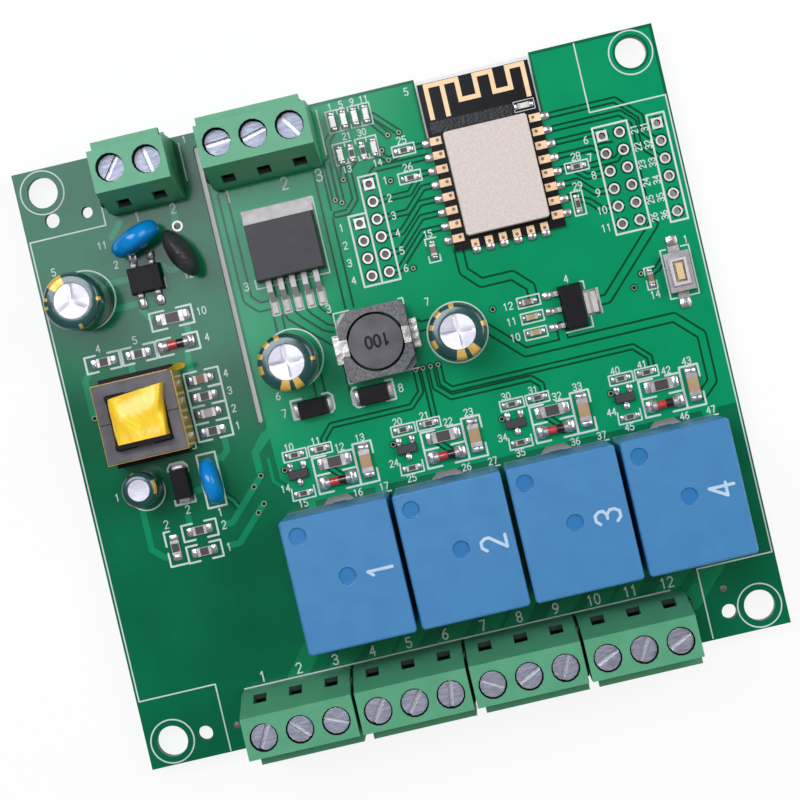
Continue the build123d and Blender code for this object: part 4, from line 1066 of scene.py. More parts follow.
def number_strokes(text, x, y, height, turn=0.0):
    """Strokes of a plain number whose middle is at a place."""
    unit = height / 4
    advance = 3.0
    width = advance * len(text) - 1.0
    spin = Matrix.Rotation(math.radians(turn), 2)
    paths = []
    for i, digit in enumerate(text):
        for stroke in digit_strokes[digit]:
            drawn = []
            for px, py in stroke:
                spot = spin @ Vector(((px + i * advance - width / 2) * unit, (py - 2) * unit))
                drawn.append((x + spot.x, y + spot.y))
            paths.append(drawn)
    return paths


def frame_paths(boxes):
    return [closed(rectangle(*box)) for box in boxes]


def bracket_paths(boxes, opening=0.9):
    """Frames that stay open in the middle of their long sides."""
    paths = []
    for x0, y0, x1, y1 in boxes:
        middle = (x0 + x1) / 2
        left = [(middle - opening, y1), (x0, y1), (x0, y0), (middle - opening, y0)]
        right = [(middle + opening, y1), (x1, y1), (x1, y0), (middle + opening, y0)]
        paths += [left, right]
    return paths


def board_print():
    fine = [[(-35.0, 37.6), (-35.0, 33.5), (-46.1, 33.5), (-46.1, -33.5), (-34.95, -33.5), (-34.95, -43.2)],
            [(35.2, 43.1), (35.2, 33.15), (46.15, 33.15), (46.15, -33.05), (35.3, -33.05), (35.3, -43.1)]]
    fine += [closed(circle(x, y, corner_hole_print, 48)) for x, y in corner_holes]
    bold = frame_paths([(35.0, 15.5, 40.0, 30.9), (42.85, 15.5, 45.35, 30.9), (1.3, 16.5, 3.95, 31.8),
                        (-1.3, 16.5, 1.3, 26.7)])
    bold += bracket_paths([(-32.0, 17.25, -25.9, 19.85), (-42.4, 13.5, -37.4, 15.85),
                           (-37.1, 13.5, -32.2, 15.85), (-31.9, 13.5, -25.9, 15.9),
                           (-34.5, -12.85, -29.5, -10.5), (-34.5, -15.95, -29.5, -13.6)])
    bold += bracket_paths([(-29.2, y, -24.2, y + 2.5) for y in (0.5, 2.98, 5.45, 7.9)], 0.6)
    bold += [[(-36.3, -10.85), (-37.15, -10.85), (-37.15, -12.9)],
             [(-37.15, -13.9), (-37.15, -15.85), (-34.7, -15.85)]]
    bold += [[(-30.1, -1.25), (-27.4, -1.25), (-27.4, -8.95), (-30.1, -8.95), (-30.1, -1.25)]]
    bold += [[(-31.7, -3.2), (-31.7, -2.2), (-32.2, -1.6), (-34.0, -1.6), (-34.5, -2.2), (-34.5, -2.6)],
             [(-34.5, -6.8), (-34.5, -7.5), (-31.6, -7.5), (-31.6, -6.6)]]
    bold += [[(-13.7, 3.2), (-15.3, 3.2), (-15.3, 0.5), (-14.6, 0.5)],
             [(-10.7, 3.2), (-9.8, 3.2), (-9.3, 2.7), (-9.3, 1.0), (-9.8, 0.4), (-10.9, 0.4)],
             [(-5.8, 3.0), (-6.2, 3.0), (-6.6, 2.5), (-6.6, 0.7), (-6.1, 0.15), (-5.2, 0.15)],
             [(-1.6, 3.0), (-0.55, 3.0), (-0.55, 0.15), (-1.9, 0.15)]]
    fine += [[(-4.3, 13.85), (-6.55, 13.85), (-6.55, 3.7), (3.6, 3.7)],
             [(2.9, 13.85), (3.55, 13.85), (3.55, 13.0)]]
    fine += [[(-16.2, 21.0), (-16.2, 19.7), (-5.6, 19.7), (-5.6, 30.7), (-6.2, 30.7)],
             [(-29.8, 11.8), (-29.8, -0.2), (-30.5, -0.2)]]
    fine += frame_paths([(19.2, y, 22.4, y + 1.5) for y in (3.9, 6.2, 8.5)])
    fine += frame_paths([(6.9, 33.35, 10.1, 34.85), (6.9, 29.4, 10.1, 30.95), (30.1, 25.5, 33.4, 26.9),
                         (30.0, 19.4, 31.6, 22.8)])
    fine += bracket_paths([(-1.1, 38.75, 5.2, 41.8), (-1.2, 34.1, 5.1, 37.1)], 0.4)
    for x in (0.55, 2.1, 3.65):
        fine += [[(x, 38.75), (x, 39.3)], [(x, 41.2), (x, 41.8)], [(x, 34.1), (x, 34.7)],
                 [(x, 36.5), (x, 37.1)]]
    fine += [[(8.5, 18.6), (8.5, 17.7), (10.1, 17.7), (10.1, 18.6)],
             [(8.5, 20.2), (8.5, 21.1), (10.1, 21.1)], [(37.6, 8.2), (37.6, 6.9), (39.0, 6.9), (39.0, 8.0)],
             [(37.6, 9.0), (37.6, 10.0), (39.1, 10.0)], [(40.4, 4.9), (40.4, 11.9), (41.2, 11.9)],
             [(43.4, 11.9), (44.5, 11.9), (44.5, 4.9), (40.4, 4.9)],
             [(25.0, 3.7), (28.9, 3.7), (28.9, 5.2)], [(28.9, 9.2), (28.9, 10.3), (28.4, 10.3)],
             [(-28.6, 23.0), (-28.6, 24.4)]]
    for x, _ in cells(0, 0):
        fine += frame_paths([(x - 6.0, -5.1, x - 2.6, -3.65), (x - 2.25, -5.1, x + 1.05, -3.65)])
        fine += [[(x - 5.9, -9.0), (x - 6.0, -10.7), (x - 2.7, -10.7), (x - 2.7, -9.1)]]
        bold += bracket_paths([(x - 2.1, -7.95, x + 3.9, -5.4), (x - 2.1, -10.6, x + 3.9, -7.95)], 0.95)
        bold += [[(x + 6.6, -6.5), (x + 6.6, -4.75), (x + 3.95, -4.75), (x + 3.95, -10.6), (x + 6.6, -10.6),
                  (x + 6.6, -8.8)]]
        fine += [[(x - 7.2, -12.35), (x - 1.7, -12.35)], [(x + 3.2, -12.35), (x + 7.9, -12.35)]]
    fine += [[(-31.0, -35.12), (30.9, -35.12)]]
    fine += [[(-2.25, 42.4), (-2.25, 36.0)], [(-22.3, 42.4), (-22.3, 37.0)]]
    for x, y, radius in ((-40.2, 23.8, 4.2), (-13.4, 9.0, 4.2), (10.05, 7.3, 4.3), (-38.15, -4.6, 2.67)):
        fine.append(closed(circle(x, y, radius, 48)))
    plotted("frame_print", fine, frame_line, ink_lift, "ink")
    plotted("bold_frame_print", bold, bold_frame_line, ink_lift, "ink")


def board_numbers():
    marks = [("11", -36.2, 30.8, 1.0), ("2", -34.9, 27.7, 1.0), ("5", -43.8, 28.7, 1.0),
             ("12", -25.2, 24.0, 0.9), ("10", -24.6, 18.6, 1.0), ("4", -40.2, 16.7, 1.0),
             ("5", -34.8, 16.7, 1.0), ("4", -24.7, 14.8, 1.0), ("4", -23.3, 9.2, 1.0),
             ("3", -23.3, 6.7, 1.0), ("2", -23.3, 4.1, 1.0), ("1", -23.3, 1.6, 1.0),
             ("1", -42.4, -4.5, 1.0), ("2", -33.0, -8.4, 1.1), ("1", -28.6, -9.8, 1.1),
             ("2", -36.5, -9.8, 1.1), ("2", -28.5, -11.7, 1.1), ("1", -28.5, -14.9, 1.1),
             ("3", -17.6, 20.4, 1.1), ("3", -7.0, 14.7, 1.1), ("6", -16.8, 4.3, 1.0),
             ("7", -16.5, 1.7, 1.1), ("8", 0.4, 1.5, 1.1), ("7", 6.8, 12.5, 1.0), ("1", -21.4, 42.7, 0.9),
             ("5", 10.7, 42.0, 1.0), ("1", -0.3, 42.4, 0.9), ("5", 1.3, 42.4, 0.9), ("9", 2.9, 42.4, 0.9),
             ("11", 4.6, 42.4, 0.9), ("21", 1.1, 37.9, 0.9), ("30", 3.3, 37.9, 0.9), ("13", 0.1, 33.3, 0.9),
             ("14", 4.5, 33.2, 0.9), ("25", 8.5, 35.5, 1.0), ("26", 8.5, 31.6, 1.0), ("15", 9.1, 21.8, 0.9),
             ("28", 31.9, 27.6, 1.0), ("29", 31.2, 23.5, 1.0), ("12", 17.8, 9.2, 1.0),
             ("11", 17.8, 7.0, 1.0), ("10", 17.8, 4.7, 1.0), ("4", 26.6, 11.1, 1.0), ("1", 44.3, 12.7, 1.0),
             ("14", 38.4, 6.1, 1.0)]
    for i in range(6):
        marks.append((str(i + 1), 5.0, 30.5 - header_pitch * i, 1.0))
        marks.append((str(6 + i), 33.8, 29.5 - header_pitch * i, 1.0))
    for i in range(4):
        marks.append((str(i + 1), -2.6, 25.4 - header_pitch * i, 1.0))
    cell_marks = [(-4.9, -3.1), (-1.0, -3.1), (2.1, -4.7), (5.2, -4.05), (-6.7, -8.7), (-4.7, -11.3),
                  (3.2, -11.55), (7.0, -11.55)]
    for row, (dx, y) in enumerate(cell_marks):
        for k, (x, _) in enumerate(cells(dx, y)):
            marks.append((str(10 * (k + 1) + row), x, y, 0.95))
    strokes = []
    for text, x, y, height in marks:
        strokes += number_strokes(text, x, y, height)
    for i in range(6):
        strokes += number_strokes(str(21 + i), 40.75, 29.4 - header_pitch * i, 0.9, 90)
        strokes += number_strokes(str(31 + i), 42.2, 29.4 - header_pitch * i, 0.9, 90)
    plotted("part_numbers", strokes, number_line, ink_lift, "ink")
    large = []
    for i, x in enumerate((-17.2, -9.0, -4.0)):
        large += number_strokes(str(i + 1), x, 33.4, 1.65)
    for i, x in enumerate((-30.4, -25.2)):
        large += number_strokes(str(i + 1), x, 33.6, 1.3)
    places = [middle + dx for middle in (-22.8, -6.8, 9.3, 25.4) for dx in (-5.3, 0, 5.3)]
    for i, x in enumerate(places):
        large += number_strokes(str(i + 1), x, -33.95, 1.4)
    plotted("terminal_numbers", large, large_number_line, ink_lift, "ink")


# Relays and terminals
def relays():
    def pick(spot, size, normal):
        return 1 if normal.z > 0.9 and spot.z < size.z / 2 - 0.1 and spot.z > size.z / 2 - 0.6 else 0

    strokes = []
    for i in range(cell_count):
        node = f"relay_case_{i + 1}"
        dressed(node, ["relay", "relay dimple"], "relay_blue", pick, 0.12)
        low, high = box_of(node)
        strokes += number_strokes(str(i + 1), high.x - relay_number_inset, (low.y + high.y) / 2,
                                  relay_number_height, 90)
    top = box_of("relay_case_1")[1].z
    plotted("relay_numbers", strokes, relay_number_line, 0.02, "relay ink", "relay_blue", low=top)
    repaint("relay_pins", "tin")


def terminals():
    # Slot floors get the lighter finish, a painted highlight.
    def slot_pick(spot, size, normal):
        return 1 if normal.z > 0.9 and 0.3 < size.z / 2 - spot.z < 2.0 else 0

    for block in terminal_blocks:
        steel = "bright screw" if block in new_blocks else "screw"
        # Small faces in the chambers behind the probe windows get terminal shade: painted shade.
        dressed(f"terminal_housing_{block}", ["terminal", "terminal shade"], "terminal_green", None, 0.05,
                shade_area=chamber_face_area)
        dressed(f"terminal_screws_{block}", [steel, "screw slot highlight"], "zinc_steel", slot_pick, 0.05)
        repaint(f"terminal_clamps_{block}", "screw")


def repaint(node, entry):
    """A solid that keeps its own shape gets its finish."""
    mesh = solids[node].data
    mesh.materials.clear()
    mesh.materials.append(look[entry])


# Wireless module
module_low, module_high = box_of("wifi_module_board")
module_left, module_right = module_low.x, module_high.x
module_front, module_back = module_low.y, module_high.y
module_top = module_high.z


def wireless_module():
    def pick(spot, size, normal):
        return 1 if abs(normal.z) < 0.5 else 0

    dressed("wifi_module_board", ["module", "laminate"], "module_board", pick)
    dressed("wifi_shield_can", ["shield"], "shield_metal", None, 0.1)
    side_rows = [module_back - module_pad_start - i * module_pad_pitch for i in range(module_side_pads)]
    middle = (module_left + module_right) / 2
    first_column = middle - (module_end_pads - 1) / 2 * module_pad_pitch
    end_columns = [first_column + i * module_pad_pitch for i in range(module_end_pads)]
    pads = []
    holes = []
    side_blobs = []
    end_blobs = []
    for y in side_rows:
        for x, side in ((module_left, 1), (module_right, -1)):
            near, far = sorted((x + side * 0.02, x + side * 1.65))
            pads.append(rectangle(near, y - module_pad_half, far, y + module_pad_half))
            pads.append(circle(x + side * 1.1, y + 0.1, notch_radius, 12))
            holes.append((x + side * 1.1, y + 0.1))
            side_blobs.append((x - side * 0.45, y - 0.05))
    for x in end_columns:
        left, right = x - module_pad_half, x + module_pad_half
        pads.append(rectangle(left, module_front + 0.02, right, module_front + 1.15))
        pads.append(circle(x, module_front + 0.42, notch_radius, 12))
        holes.append((x, module_front + 0.42))
        end_blobs.append((x, module_front - 0.3))
    flat_sheet("module_pads", pads, module_top, 0.03, "gold", "module_board")
    cones("module_pad_holes", holes, 0.26, 0.2, 0.012, "bore", "module_board", module_top)
    mounds("module_side_solder", side_blobs)
    mounds("module_end_solder", end_blobs)
    lands = [rectangle(x - 0.62, y - 0.6, x + 0.62, y + 0.6) for x, y in side_blobs + end_blobs]
    flat_sheet("module_lands", lands, board_top, gap_lift + 0.004, "gap", "board_mask")
    antenna = [[(13.5, 37.5), (13.5, 42.0), (17.95, 42.0), (17.95, 39.07), (20.52, 39.07), (20.52, 42.0),
                (22.85, 42.0), (22.85, 39.07), (25.22, 39.07), (25.22, 42.0), (27.45, 42.0), (27.45, 37.6)],
               [(15.8, 37.5), (15.8, 42.0)]]
    plotted("module_antenna", antenna, 0.66, 0.02, "antenna", "module_board", True, module_top)
    band = [(16.2, 35.3), (16.2, 36.9), (24.7, 36.9), (24.7, 35.3)]
    plotted("module_band_print", [band], fine_line, 0.02, "ink dark", "module_board", low=module_top)
    flat_sheet("module_band", [rectangle(12.9, 35.3, 24.8, 36.9)], module_top, 0.012, "module band",
               "module_board")
    plotted("module_lamp_frame", frame_paths([(25.0, 35.5, 27.9, 36.95)]), fine_line, 0.02, "ink",
            "module_board", low=module_top)


# Chip parts and lamps
def chip_values(size, entries):
    """What the chip tree needs for one size in millimetres and its finishes."""
    body, film, ends = entries
    return {"Length": size[0] * MM, "Width": size[1] * MM, "Height": size[2] * MM,
            "End Length": size[0] * 0.2 * MM, "Film Thickness": 0.05 * MM,
            "Solder Reach": (0.62 if size[0] < 1.8 else 0.95) * MM, "Body Finish": look[body],
            "Film Finish": look[film], "End Finish": look[ends], "Solder Finish": look["solder"]}


def chip_rows(node, groups, slot):
    """Dresses each chip by its size. groups lists (length, test of the chip's middle, finishes)."""
    boxes = islands(node)
    first = True
    for length, wanted, entries in groups:
        places = []
        turns = []
        size = None
        height = 0.0
        for low, high in boxes:
            run = high - low
            long_side = max(run.x, run.y)
            if abs(long_side - length) > 0.05 or not wanted((low + high) / 2):
                continue
            size = (long_side, min(run.x, run.y), run.z)
            height = low.z
            places.append(middle_of(low, high))
            turns.append(math.pi / 2 if run.y > run.x else 0.0)
        if not places:
            continue
        name = f"{node}_{str(length).replace('.', '_')}_{entries[1].replace(' ', '_')}"
        piece = at_points(name, places, chip_part, chip_values(size, entries), slot, height, turns)
        if first:
            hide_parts(node)
            first = False


def chips():
    def anywhere(spot):
        return True

    def under_bridge(spot):
        return spot.x < -27 and spot.y > 17

    resistor = ("resistor clay", "resistor film", "tin")
    chip_rows("chip_resistors", [
        (1.6, anywhere, resistor), (2.0, lambda spot: not under_bridge(spot), resistor),
        (3.2, anywhere, resistor)], "chip_ceramic")
    middles = [(low + high) / 2 for low, high in islands("chip_resistors")]
    at_points("bridge_resistor", [(spot.x, spot.y) for spot in middles if under_bridge(spot)], chip_part,
              chip_values(bridge_resistor_size, resistor), "chip_ceramic", turns=[0.0])
    tan = ("tan clay", "tan clay", "tin")
    brown = ("capacitor clay", "capacitor clay", "tin")
    pale = ("pink clay", "pink clay", "tin")
    chip_rows("chip_capacitors", [
        (3.2, anywhere, tan), (2.0, lambda spot: spot.x < -22 and spot.y > 7, brown),
        (2.0, lambda spot: spot.x < -22 and spot.y < 7, pale), (1.6, lambda spot: spot.y > 8, brown),
        (1.6, lambda spot: spot.y <= 8, tan)], "capacitor_ceramic")
    chip_rows("indicator_leds", [(1.6, anywhere, ("lamp", "lamp", "tin"))], "capacitor_ceramic")


def glass_diodes():
    """Small glass diodes lying between two soldered metal ends."""
    parts = {"glass red": [], "glass dark": [], "tin": []}
    feet = []
    for low, high in islands("glass_diodes"):
        x0, x1 = low.x, high.x
        middle, y = middle_of(low, high)
        radius = (high.y - low.y) / 2
        z = board_top + radius

        def barrel(start, stop, wide):
            profile = [(0, start), (wide * 0.9, start), (wide, start + 0.08), (wide, stop - 0.08),
                       (wide * 0.9, stop), (0, stop)]
            points, faces = turned(profile, (0, 0), 20)
            return [(pz, py + y * MM, px + z * MM) for px, py, pz in points], faces

        parts["glass red"].append(barrel(x0 + 0.5, middle + 0.15, radius * 0.82))
        parts["glass dark"].append(barrel(middle + 0.1, x1 - 0.5, radius * 0.82))
        for start, stop in ((x0 - 0.12, x0 + 0.6), (x1 - 0.6, x1 + 0.12)):
            parts["tin"].append(barrel(start, stop, radius))
        feet += [(x0 - 0.3, y), (x1 + 0.3, y)]
    mounds("glass_diode_solder", feet)
    for entry, group in parts.items():
        name = "glass_diodes_" + entry.replace(" ", "_")
        piece = shown(name, joined(name, group, entry))
        slot = "diode_glass" if entry.startswith("glass") else "tinned_metal"
        carried(piece, slot, instead_of=("glass_diodes",) if entry == "glass red" else ())


def packages():
    """Moulded parts whose metal ends are one solid with their body."""
    def diode_pick(spot, size, normal):
        lengthways = 0 if size.x > size.y else 1
        return 1 if abs(spot[lengthways]) / size[lengthways] > 0.44 else 0

    def transistor_pick(spot, size, normal):
        return 1 if abs(spot.y) > 0.66 else 0

    dressed("rectifier_diodes", ["dark package", "tin"], "package_black", diode_pick, 0.06)
    dressed("relay_transistors", ["package", "tin"], "package_black", transistor_pick, 0.04)
    dressed("buck_regulator_body", ["package"], "package_black", None, 0.1)
    dressed("buck_regulator_leads", ["plain tin"], "tinned_metal", None, 0.05)
    dressed("linear_regulator_body", ["dark package"], "package_black", None, 0.08)
    dressed("linear_regulator_leads", ["plain tin"], "tinned_metal", None, 0.05)
    dressed("bridge_rectifier_body", ["dark package"], "package_black", None, 0.08)
    dressed("bridge_rectifier_leads", ["tin"], "tinned_metal", None, 0.04)
    feet = []
    for low, high in islands("bridge_rectifier_leads"):
        outward = 1 if low.y > 24 else -1
        tip = high.y if outward > 0 else low.y
        feet.append((middle_of(low, high)[0], tip - outward * 0.1))
    mounds("bridge_solder", feet)
    lands = []
    feet = []
    body_middle = middle_of(*box_of("linear_regulator_body"))[0]
    for low, high in islands("linear_regulator_leads"):
        x, y = middle_of(low, high)
        outward = 1 if x > body_middle else -1
        tip = high.x if outward > 0 else low.x
        if high.y - low.y > 2:
            for reach in (-tab_land, 0.5):
                near, far = sorted((tip, tip + outward * reach))
                lands.append(rectangle(near, low.y - land_margin, far, high.y + land_margin))
        else:
            feet.append((tip - outward * 0.1, y))
    mounds("regulator_solder", feet)
    feet = []
    for low, high in islands("relay_transistors"):
        x = middle_of(low, high)[0]
        feet += [(x - transistor_lead_half, high.y), (x + transistor_lead_half, high.y), (x, low.y)]
    mounds("transistor_solder", feet)
    for low, high in islands("buck_regulator_leads"):
        if high.x - low.x < 2:
            lands.append(rectangle(low.x - 0.2, low.y - land_margin, high.x + 0.2, low.y + 2.2))
    lands.append(rectangle(-16.0, 28.9, -5.75, 30.85))
    lands += [rectangle(41.65, 12.4, 42.95, 13.3), rectangle(41.65, 3.2, 42.95, 4.3)]
    for low, high in islands("rectifier_diodes"):
        x0, y0, x1, y1 = low.x, low.y, high.x, high.y
        slim = land_margin
        if x1 - x0 > y1 - y0:
            lands += [rectangle(x0 - slim, y0 + slim, x0 + diode_land, y1 - slim),
                      rectangle(x1 - diode_land, y0 + slim, x1 + slim, y1 - slim)]
        else:
            lands += [rectangle(x0 + slim, y0 - slim, x1 - slim, y0 + diode_land),
                      rectangle(x0 + slim, y1 - diode_land, x1 - slim, y1 + slim)]
    flat_sheet("solder_lands", lands, board_top, pad_lift, "plain tin", "tinned_metal")


# Capacitors and discs
def can_end(node, place, radius, top, vents):
    """A pressed end; grooves split it into leaves, every other one in a lighter finish: a painted
    highlight.
    """
    points = [(place[0] * MM, place[1] * MM, (top - end_dish - vent_depth * bool(vents)) * MM)]
    faces = []
    leaves = []
    sides = 72
    shares = (0.25, 0.5, 0.75, 0.92, 1.0)
    for share in shares:
        for i in range(sides):
            angle = 2 * math.pi * i / sides
            groove = 0.0
            for vent in vents:
                off = angle - math.radians(vent)
                if math.cos(off) > 0 and share < 0.95:
                    groove = max(groove, math.exp(-(math.sin(off) * share * radius / vent_width) ** 2))
            height = top - end_dish * (1 - share) - vent_depth * groove
            points.append(((place[0] + radius * share * math.cos(angle)) * MM,
                           (place[1] + radius * share * math.sin(angle)) * MM, height * MM))
    foot = len(points)
    for x, y, _ in points[-sides:]:
        points.append((x, y, (top - 0.5) * MM))
    for i in range(sides):
        j = (i + 1) % sides
        middle = 360 * (i + 0.5) / sides
        # Every other leaf between the vents gets the lighter finish, a painted highlight.
        leaf = sum(1 for vent in vents if vent < middle) % 2
        faces.append([0, 1 + i, 1 + j])
        leaves.append(leaf)
        for k in range(len(shares) - 1):
            low = 1 + k * sides
            faces.append([low + i, low + sides + i, low + sides + j, low + j])
            leaves.append(leaf)
        faces.append([foot - sides + i, foot + i, foot + j, foot - sides + j])
        leaves.append(leaf)
    faces.append(list(range(foot, foot + sides)))
    leaves.append(0)
    mesh = mesh_of(node + "_end", points, faces, ["can end", "can leaf highlight"])
    for face, leaf in zip(mesh.polygons, leaves):
        face.material_index = leaf
    carried(shown(node + "_end", mesh), "capacitor_sleeve")


def capacitor(node, vents, print_arcs, sides=96):
    """Sleeve, silver end with its vent, and rubber bung, round the solid's own axis.

    print_arcs lists (start, stop, inner radius, bottom) of each gold mark, with angles in degrees.
    """
    low, high = box_of(node)
    x, y = middle_of(low, high)
    radius = (high.x - low.x) / 2
    base, top = low.z, high.z
    lip = radius * 0.63
    profile = [(radius * 0.8, base), (radius - 0.15, base), (radius, base + 0.2), (radius, base + 1.0),
               (radius - 0.32, base + 1.45), (radius, base + 1.95), (radius, top - 0.75),
               (radius - 0.12, top - 0.36), (radius - 0.36, top - 0.1), (radius - 0.65, top), (lip, top),
               (lip - 0.08, top - 0.14)]
    points, faces = turned(profile, (x, y), sides)
    mesh = mesh_of(node + "_sleeve", points, faces, ["sleeve", "sleeve print"])
    for face in mesh.polygons:
        spot = face.center / MM
        angle = math.degrees(math.atan2(spot.y - y, spot.x - x)) % 360
        reach = math.hypot(spot.x - x, spot.y - y)
        for start, stop, inner, bottom in print_arcs:
            if start <= angle <= stop and reach > inner and spot.z > bottom:
                face.material_index = 1
    carried(shown(node + "_sleeve", mesh), "capacitor_sleeve", instead_of=(node,))
    can_end(node, (x, y), lip - 0.05, top - 0.12, vents)
    low, high, wide = base + 0.02, base + 0.3, radius * 0.8
    points, faces = turned([(0, low), (wide, low), (wide, high), (0, high)], (x, y), 32)
    carried(shown(node + "_bung", mesh_of(node + "_bung", points, faces, ["bung"])), "capacitor_sleeve")


def capacitors():
    top = box_of("bulk_capacitor")[1].z
    shoulder = top - 0.9
    small_shoulder = box_of("auxiliary_capacitor")[1].z - 0.9

    def marks(spans, inner, bottom):
        return [(start, stop, inner, bottom) for start, stop in spans]

    capacitor("bulk_capacitor", (85, 205, 325),
              marks([(100, 140)], 2.6, top - 3.5)
              + marks([(160, 170), (180, 186), (275, 283), (350, 358)], 3.0, shoulder))
    capacitor("input_capacitor", (0, 90, 180, 270),
              marks([(244, 266), (276, 298)], 2.6, top - 4)
              + marks([(92, 104), (120, 134), (150, 160), (176, 196), (352, 360)], 3.0, shoulder))
    capacitor("output_capacitor", (0, 90, 180, 270),
              marks([(256, 278), (288, 310)], 2.6, top - 4)
              + marks([(85, 98), (120, 136), (152, 164), (186, 206), (0, 12)], 3.0, shoulder))
    capacitor("auxiliary_capacitor", (),
              marks([(0, 24), (336, 360)], 2.2, small_shoulder)
              + marks([(95, 110), (215, 250)], 2.4, small_shoulder), 72)


def dipped_disc(node, entry, turn, slot, thick, flatness=0.75, fullness=0.55):
    """A smooth dipped disc on edge, a little fuller at its foot, with drips round both leads."""
    low, high = box_of(node)
    centre = (low + high) / 2
    radius = (high.z - low.z) / 2
    spin = math.radians(turn)
    along = Vector((math.cos(spin), math.sin(spin), 0))
    across = Vector((-math.sin(spin), math.cos(spin), 0))
    points = []
    slices, sides = 16, 40
    for i in range(1, slices):
        latitude = math.pi * i / slices - math.pi / 2
        flat = math.copysign(abs(math.sin(latitude)) ** flatness, latitude)
        breadth = math.cos(latitude) ** fullness
        for j in range(sides):
            angle = 2 * math.pi * j / sides
            droop = 1.0 + disc_droop * max(0.0, -math.sin(angle))
            spot = (centre + along * (breadth * math.cos(angle) * radius)
                    + across * (flat * thick * droop) + Vector((0, 0, breadth * math.sin(angle) * radius)))
            points.append(tuple(spot * MM))
    parts = [(points, ring_faces(slices - 1, sides))]
    base = centre.z - math.sqrt(radius ** 2 - disc_lead_reach ** 2)
    for side in (-1, 1):
        foot = centre + along * (side * disc_lead_reach)
        parts.append(turned([(0, base - 0.55), (0.36, base - 0.5), (0.45, base - 0.1), (0.6, base + 0.35),
                             (0.62, base + 0.9), (0, base + 1.0)], (foot.x, foot.y), 14))
    mesh = joined(node + "_dip", parts, entry)
    carried(shown(node + "_dip", mesh), slot, instead_of=(node,), angle=80)


def discs():
    dipped_disc("surge_varistor", "blue dip", 21.3, "dip_blue", 1.5)
    dipped_disc("inrush_thermistor", "black dip", -66.5, "dip_black", 1.7, 1.0, 1.15)
    dipped_disc("safety_capacitor", "blue dip", -86.0, "dip_blue", 1.25)
    repaint("radial_leads", "tin")


# Transformer and inductor
def transformer():
    for node in ("transformer_core_half_1", "transformer_core_half_2"):
        dressed(node, ["ferrite"], "ferrite", None, 0.12)
    dressed("transformer_bobbin", ["bobbin"], "bobbin_black", None, 0.08)
    repaint("transformer_pins", "tin")
    dressed("transformer_tape", ["core tape"], "winding_tape")
    winding_wrap()
    tape_tail()
    side_tape()


def winding_wrap():
    """Creased tape round the winding, pulled out of square and flared at its far right end."""
    low, high = box_of("transformer_winding")
    centre = (low + high) / 2 + Vector((0, wrap_overhang / 2, 0))
    half = (high - low) / 2 + Vector((0, wrap_overhang / 2, wrap_rise))
    points = []
    rows, sides = 15, 56
    for i in range(rows):
        share = i / (rows - 1)
        bulge = 1.0 + 0.012 * math.sin(math.pi * share)
        for j in range(sides):
            angle = 2 * math.pi * j / sides
            across = math.copysign(abs(math.cos(angle)) ** wrap_corner, math.cos(angle))
            upward = math.copysign(abs(math.sin(angle)) ** wrap_corner, math.sin(angle))
            flare = 1.0 + wrap_flare * share ** 3 * (across > 0)
            crease = 0.985 - 0.012 * math.sin(5 * angle + 7 * share)
            crease -= 0.01 * math.sin(11 * share + 3 * angle)
            run = half.y * (2 * share - 1) + wrap_slant * share * across
            points.append(((centre.x + half.x * across * crease * flare) * MM, (centre.y + run) * MM,
                           (centre.z + half.z * upward * crease * bulge) * MM))
    mesh = mesh_of("winding_wrap", points, ring_faces(rows, sides), ["tape"])
    carried(shown("winding_wrap", mesh), "winding_tape", instead_of=("transformer_winding",), angle=50)


def tape_strip(name, rows):
    """Thin amber tape through rows of points that run across it."""
    across = len(rows[0])
    points = [tuple(point * MM) for row in rows for point in row]
    faces = []
    for i in range(len(rows) - 1):
        for k in range(across - 1):
            start = across * i + k
            faces.append([start, start + 1, start + across + 1, start + across])
    piece = shown(name, mesh_of(name, points, faces, ["core tape"]))
    shell = piece.modifiers.new("tape thickness", "SOLIDIFY")
    shell.thickness = tape_thickness * MM
    baked(piece)
    carried(piece, "winding_tape", angle=80)


def tape_tail():
    """The loose end of the core's tape at its far right corner."""
    corner = box_of("transformer_core_half_1")[1]
    tail = [(-0.6, 0.06, 0.0), (0.1, 0.2, 0.03), (0.8, 0.5, -0.05), (1.5, 0.65, -0.2), (2.2, 0.35, -0.5)]
    spread = [(0.0, 0.0, -1.4), (0.1, -0.35, -1.0), (0.2, -0.8, -0.5), (0.15, -0.9, -0.3),
              (-0.1, -0.35, -0.1)]
    edges = [corner + Vector(run) for run in tail]
    tape_strip("tape_tail", [(edge, edge + Vector(wide)) for edge, wide in zip(edges, spread)])


def side_tape():
    """The loose turn of tape that hangs down the transformer's right side and leans out a little."""
    low, high = box_of("transformer_tape")
    rows = []
    count = 24
    for i in range(count):
        share = i / (count - 1)
        y = low.y + 0.25 + (high.y - low.y - 0.5) * share
        wave = 0.05 * math.sin(9 * share) + 0.03 * math.sin(23 * share)
        shape = ((0.0, 0.03), (2.2, 0.14 + wave), (4.6, 0.22 + wave), (6.4, 0.3 + wave))
        rows.append([Vector((high.x + lean, y, high.z - drop)) for drop, lean in shape])
    tape_strip("side_tape", rows)


def inductor():
    dressed("inductor_shield", ["speckle"], "ferrite", None, 0.12)
    dressed("inductor_drum", ["ferrite"], "ferrite", None, 0.12)
    dressed("inductor_terminals", ["clip metal"], "tinned_metal", None, 0.06)
    low, high = box_of("inductor_shield")
    x0, y0, x1, y1 = low.x, low.y, high.x, high.y
    corners = [[(x0, y1 - 1.7), (x0 + 1.7, y1), (x0 + 0.9, y1 - 0.1), (x0 + 0.1, y1 - 0.9)],
               [(x1, y0 + 1.9), (x1 - 1.9, y0), (x1 - 0.9, y0 + 0.15), (x1 - 0.15, y0 + 0.9)]]
    flat_sheet("inductor_lands", corners, board_top, pad_lift, "plain tin", "tinned_metal")
    top = box_of("inductor_drum")[1].z
    strokes = number_strokes("100", -1.2, 8.7, 1.6, 180)
    plotted("inductor_number", strokes, 0.32, 0.012, "ink dark", "ferrite", low=top)


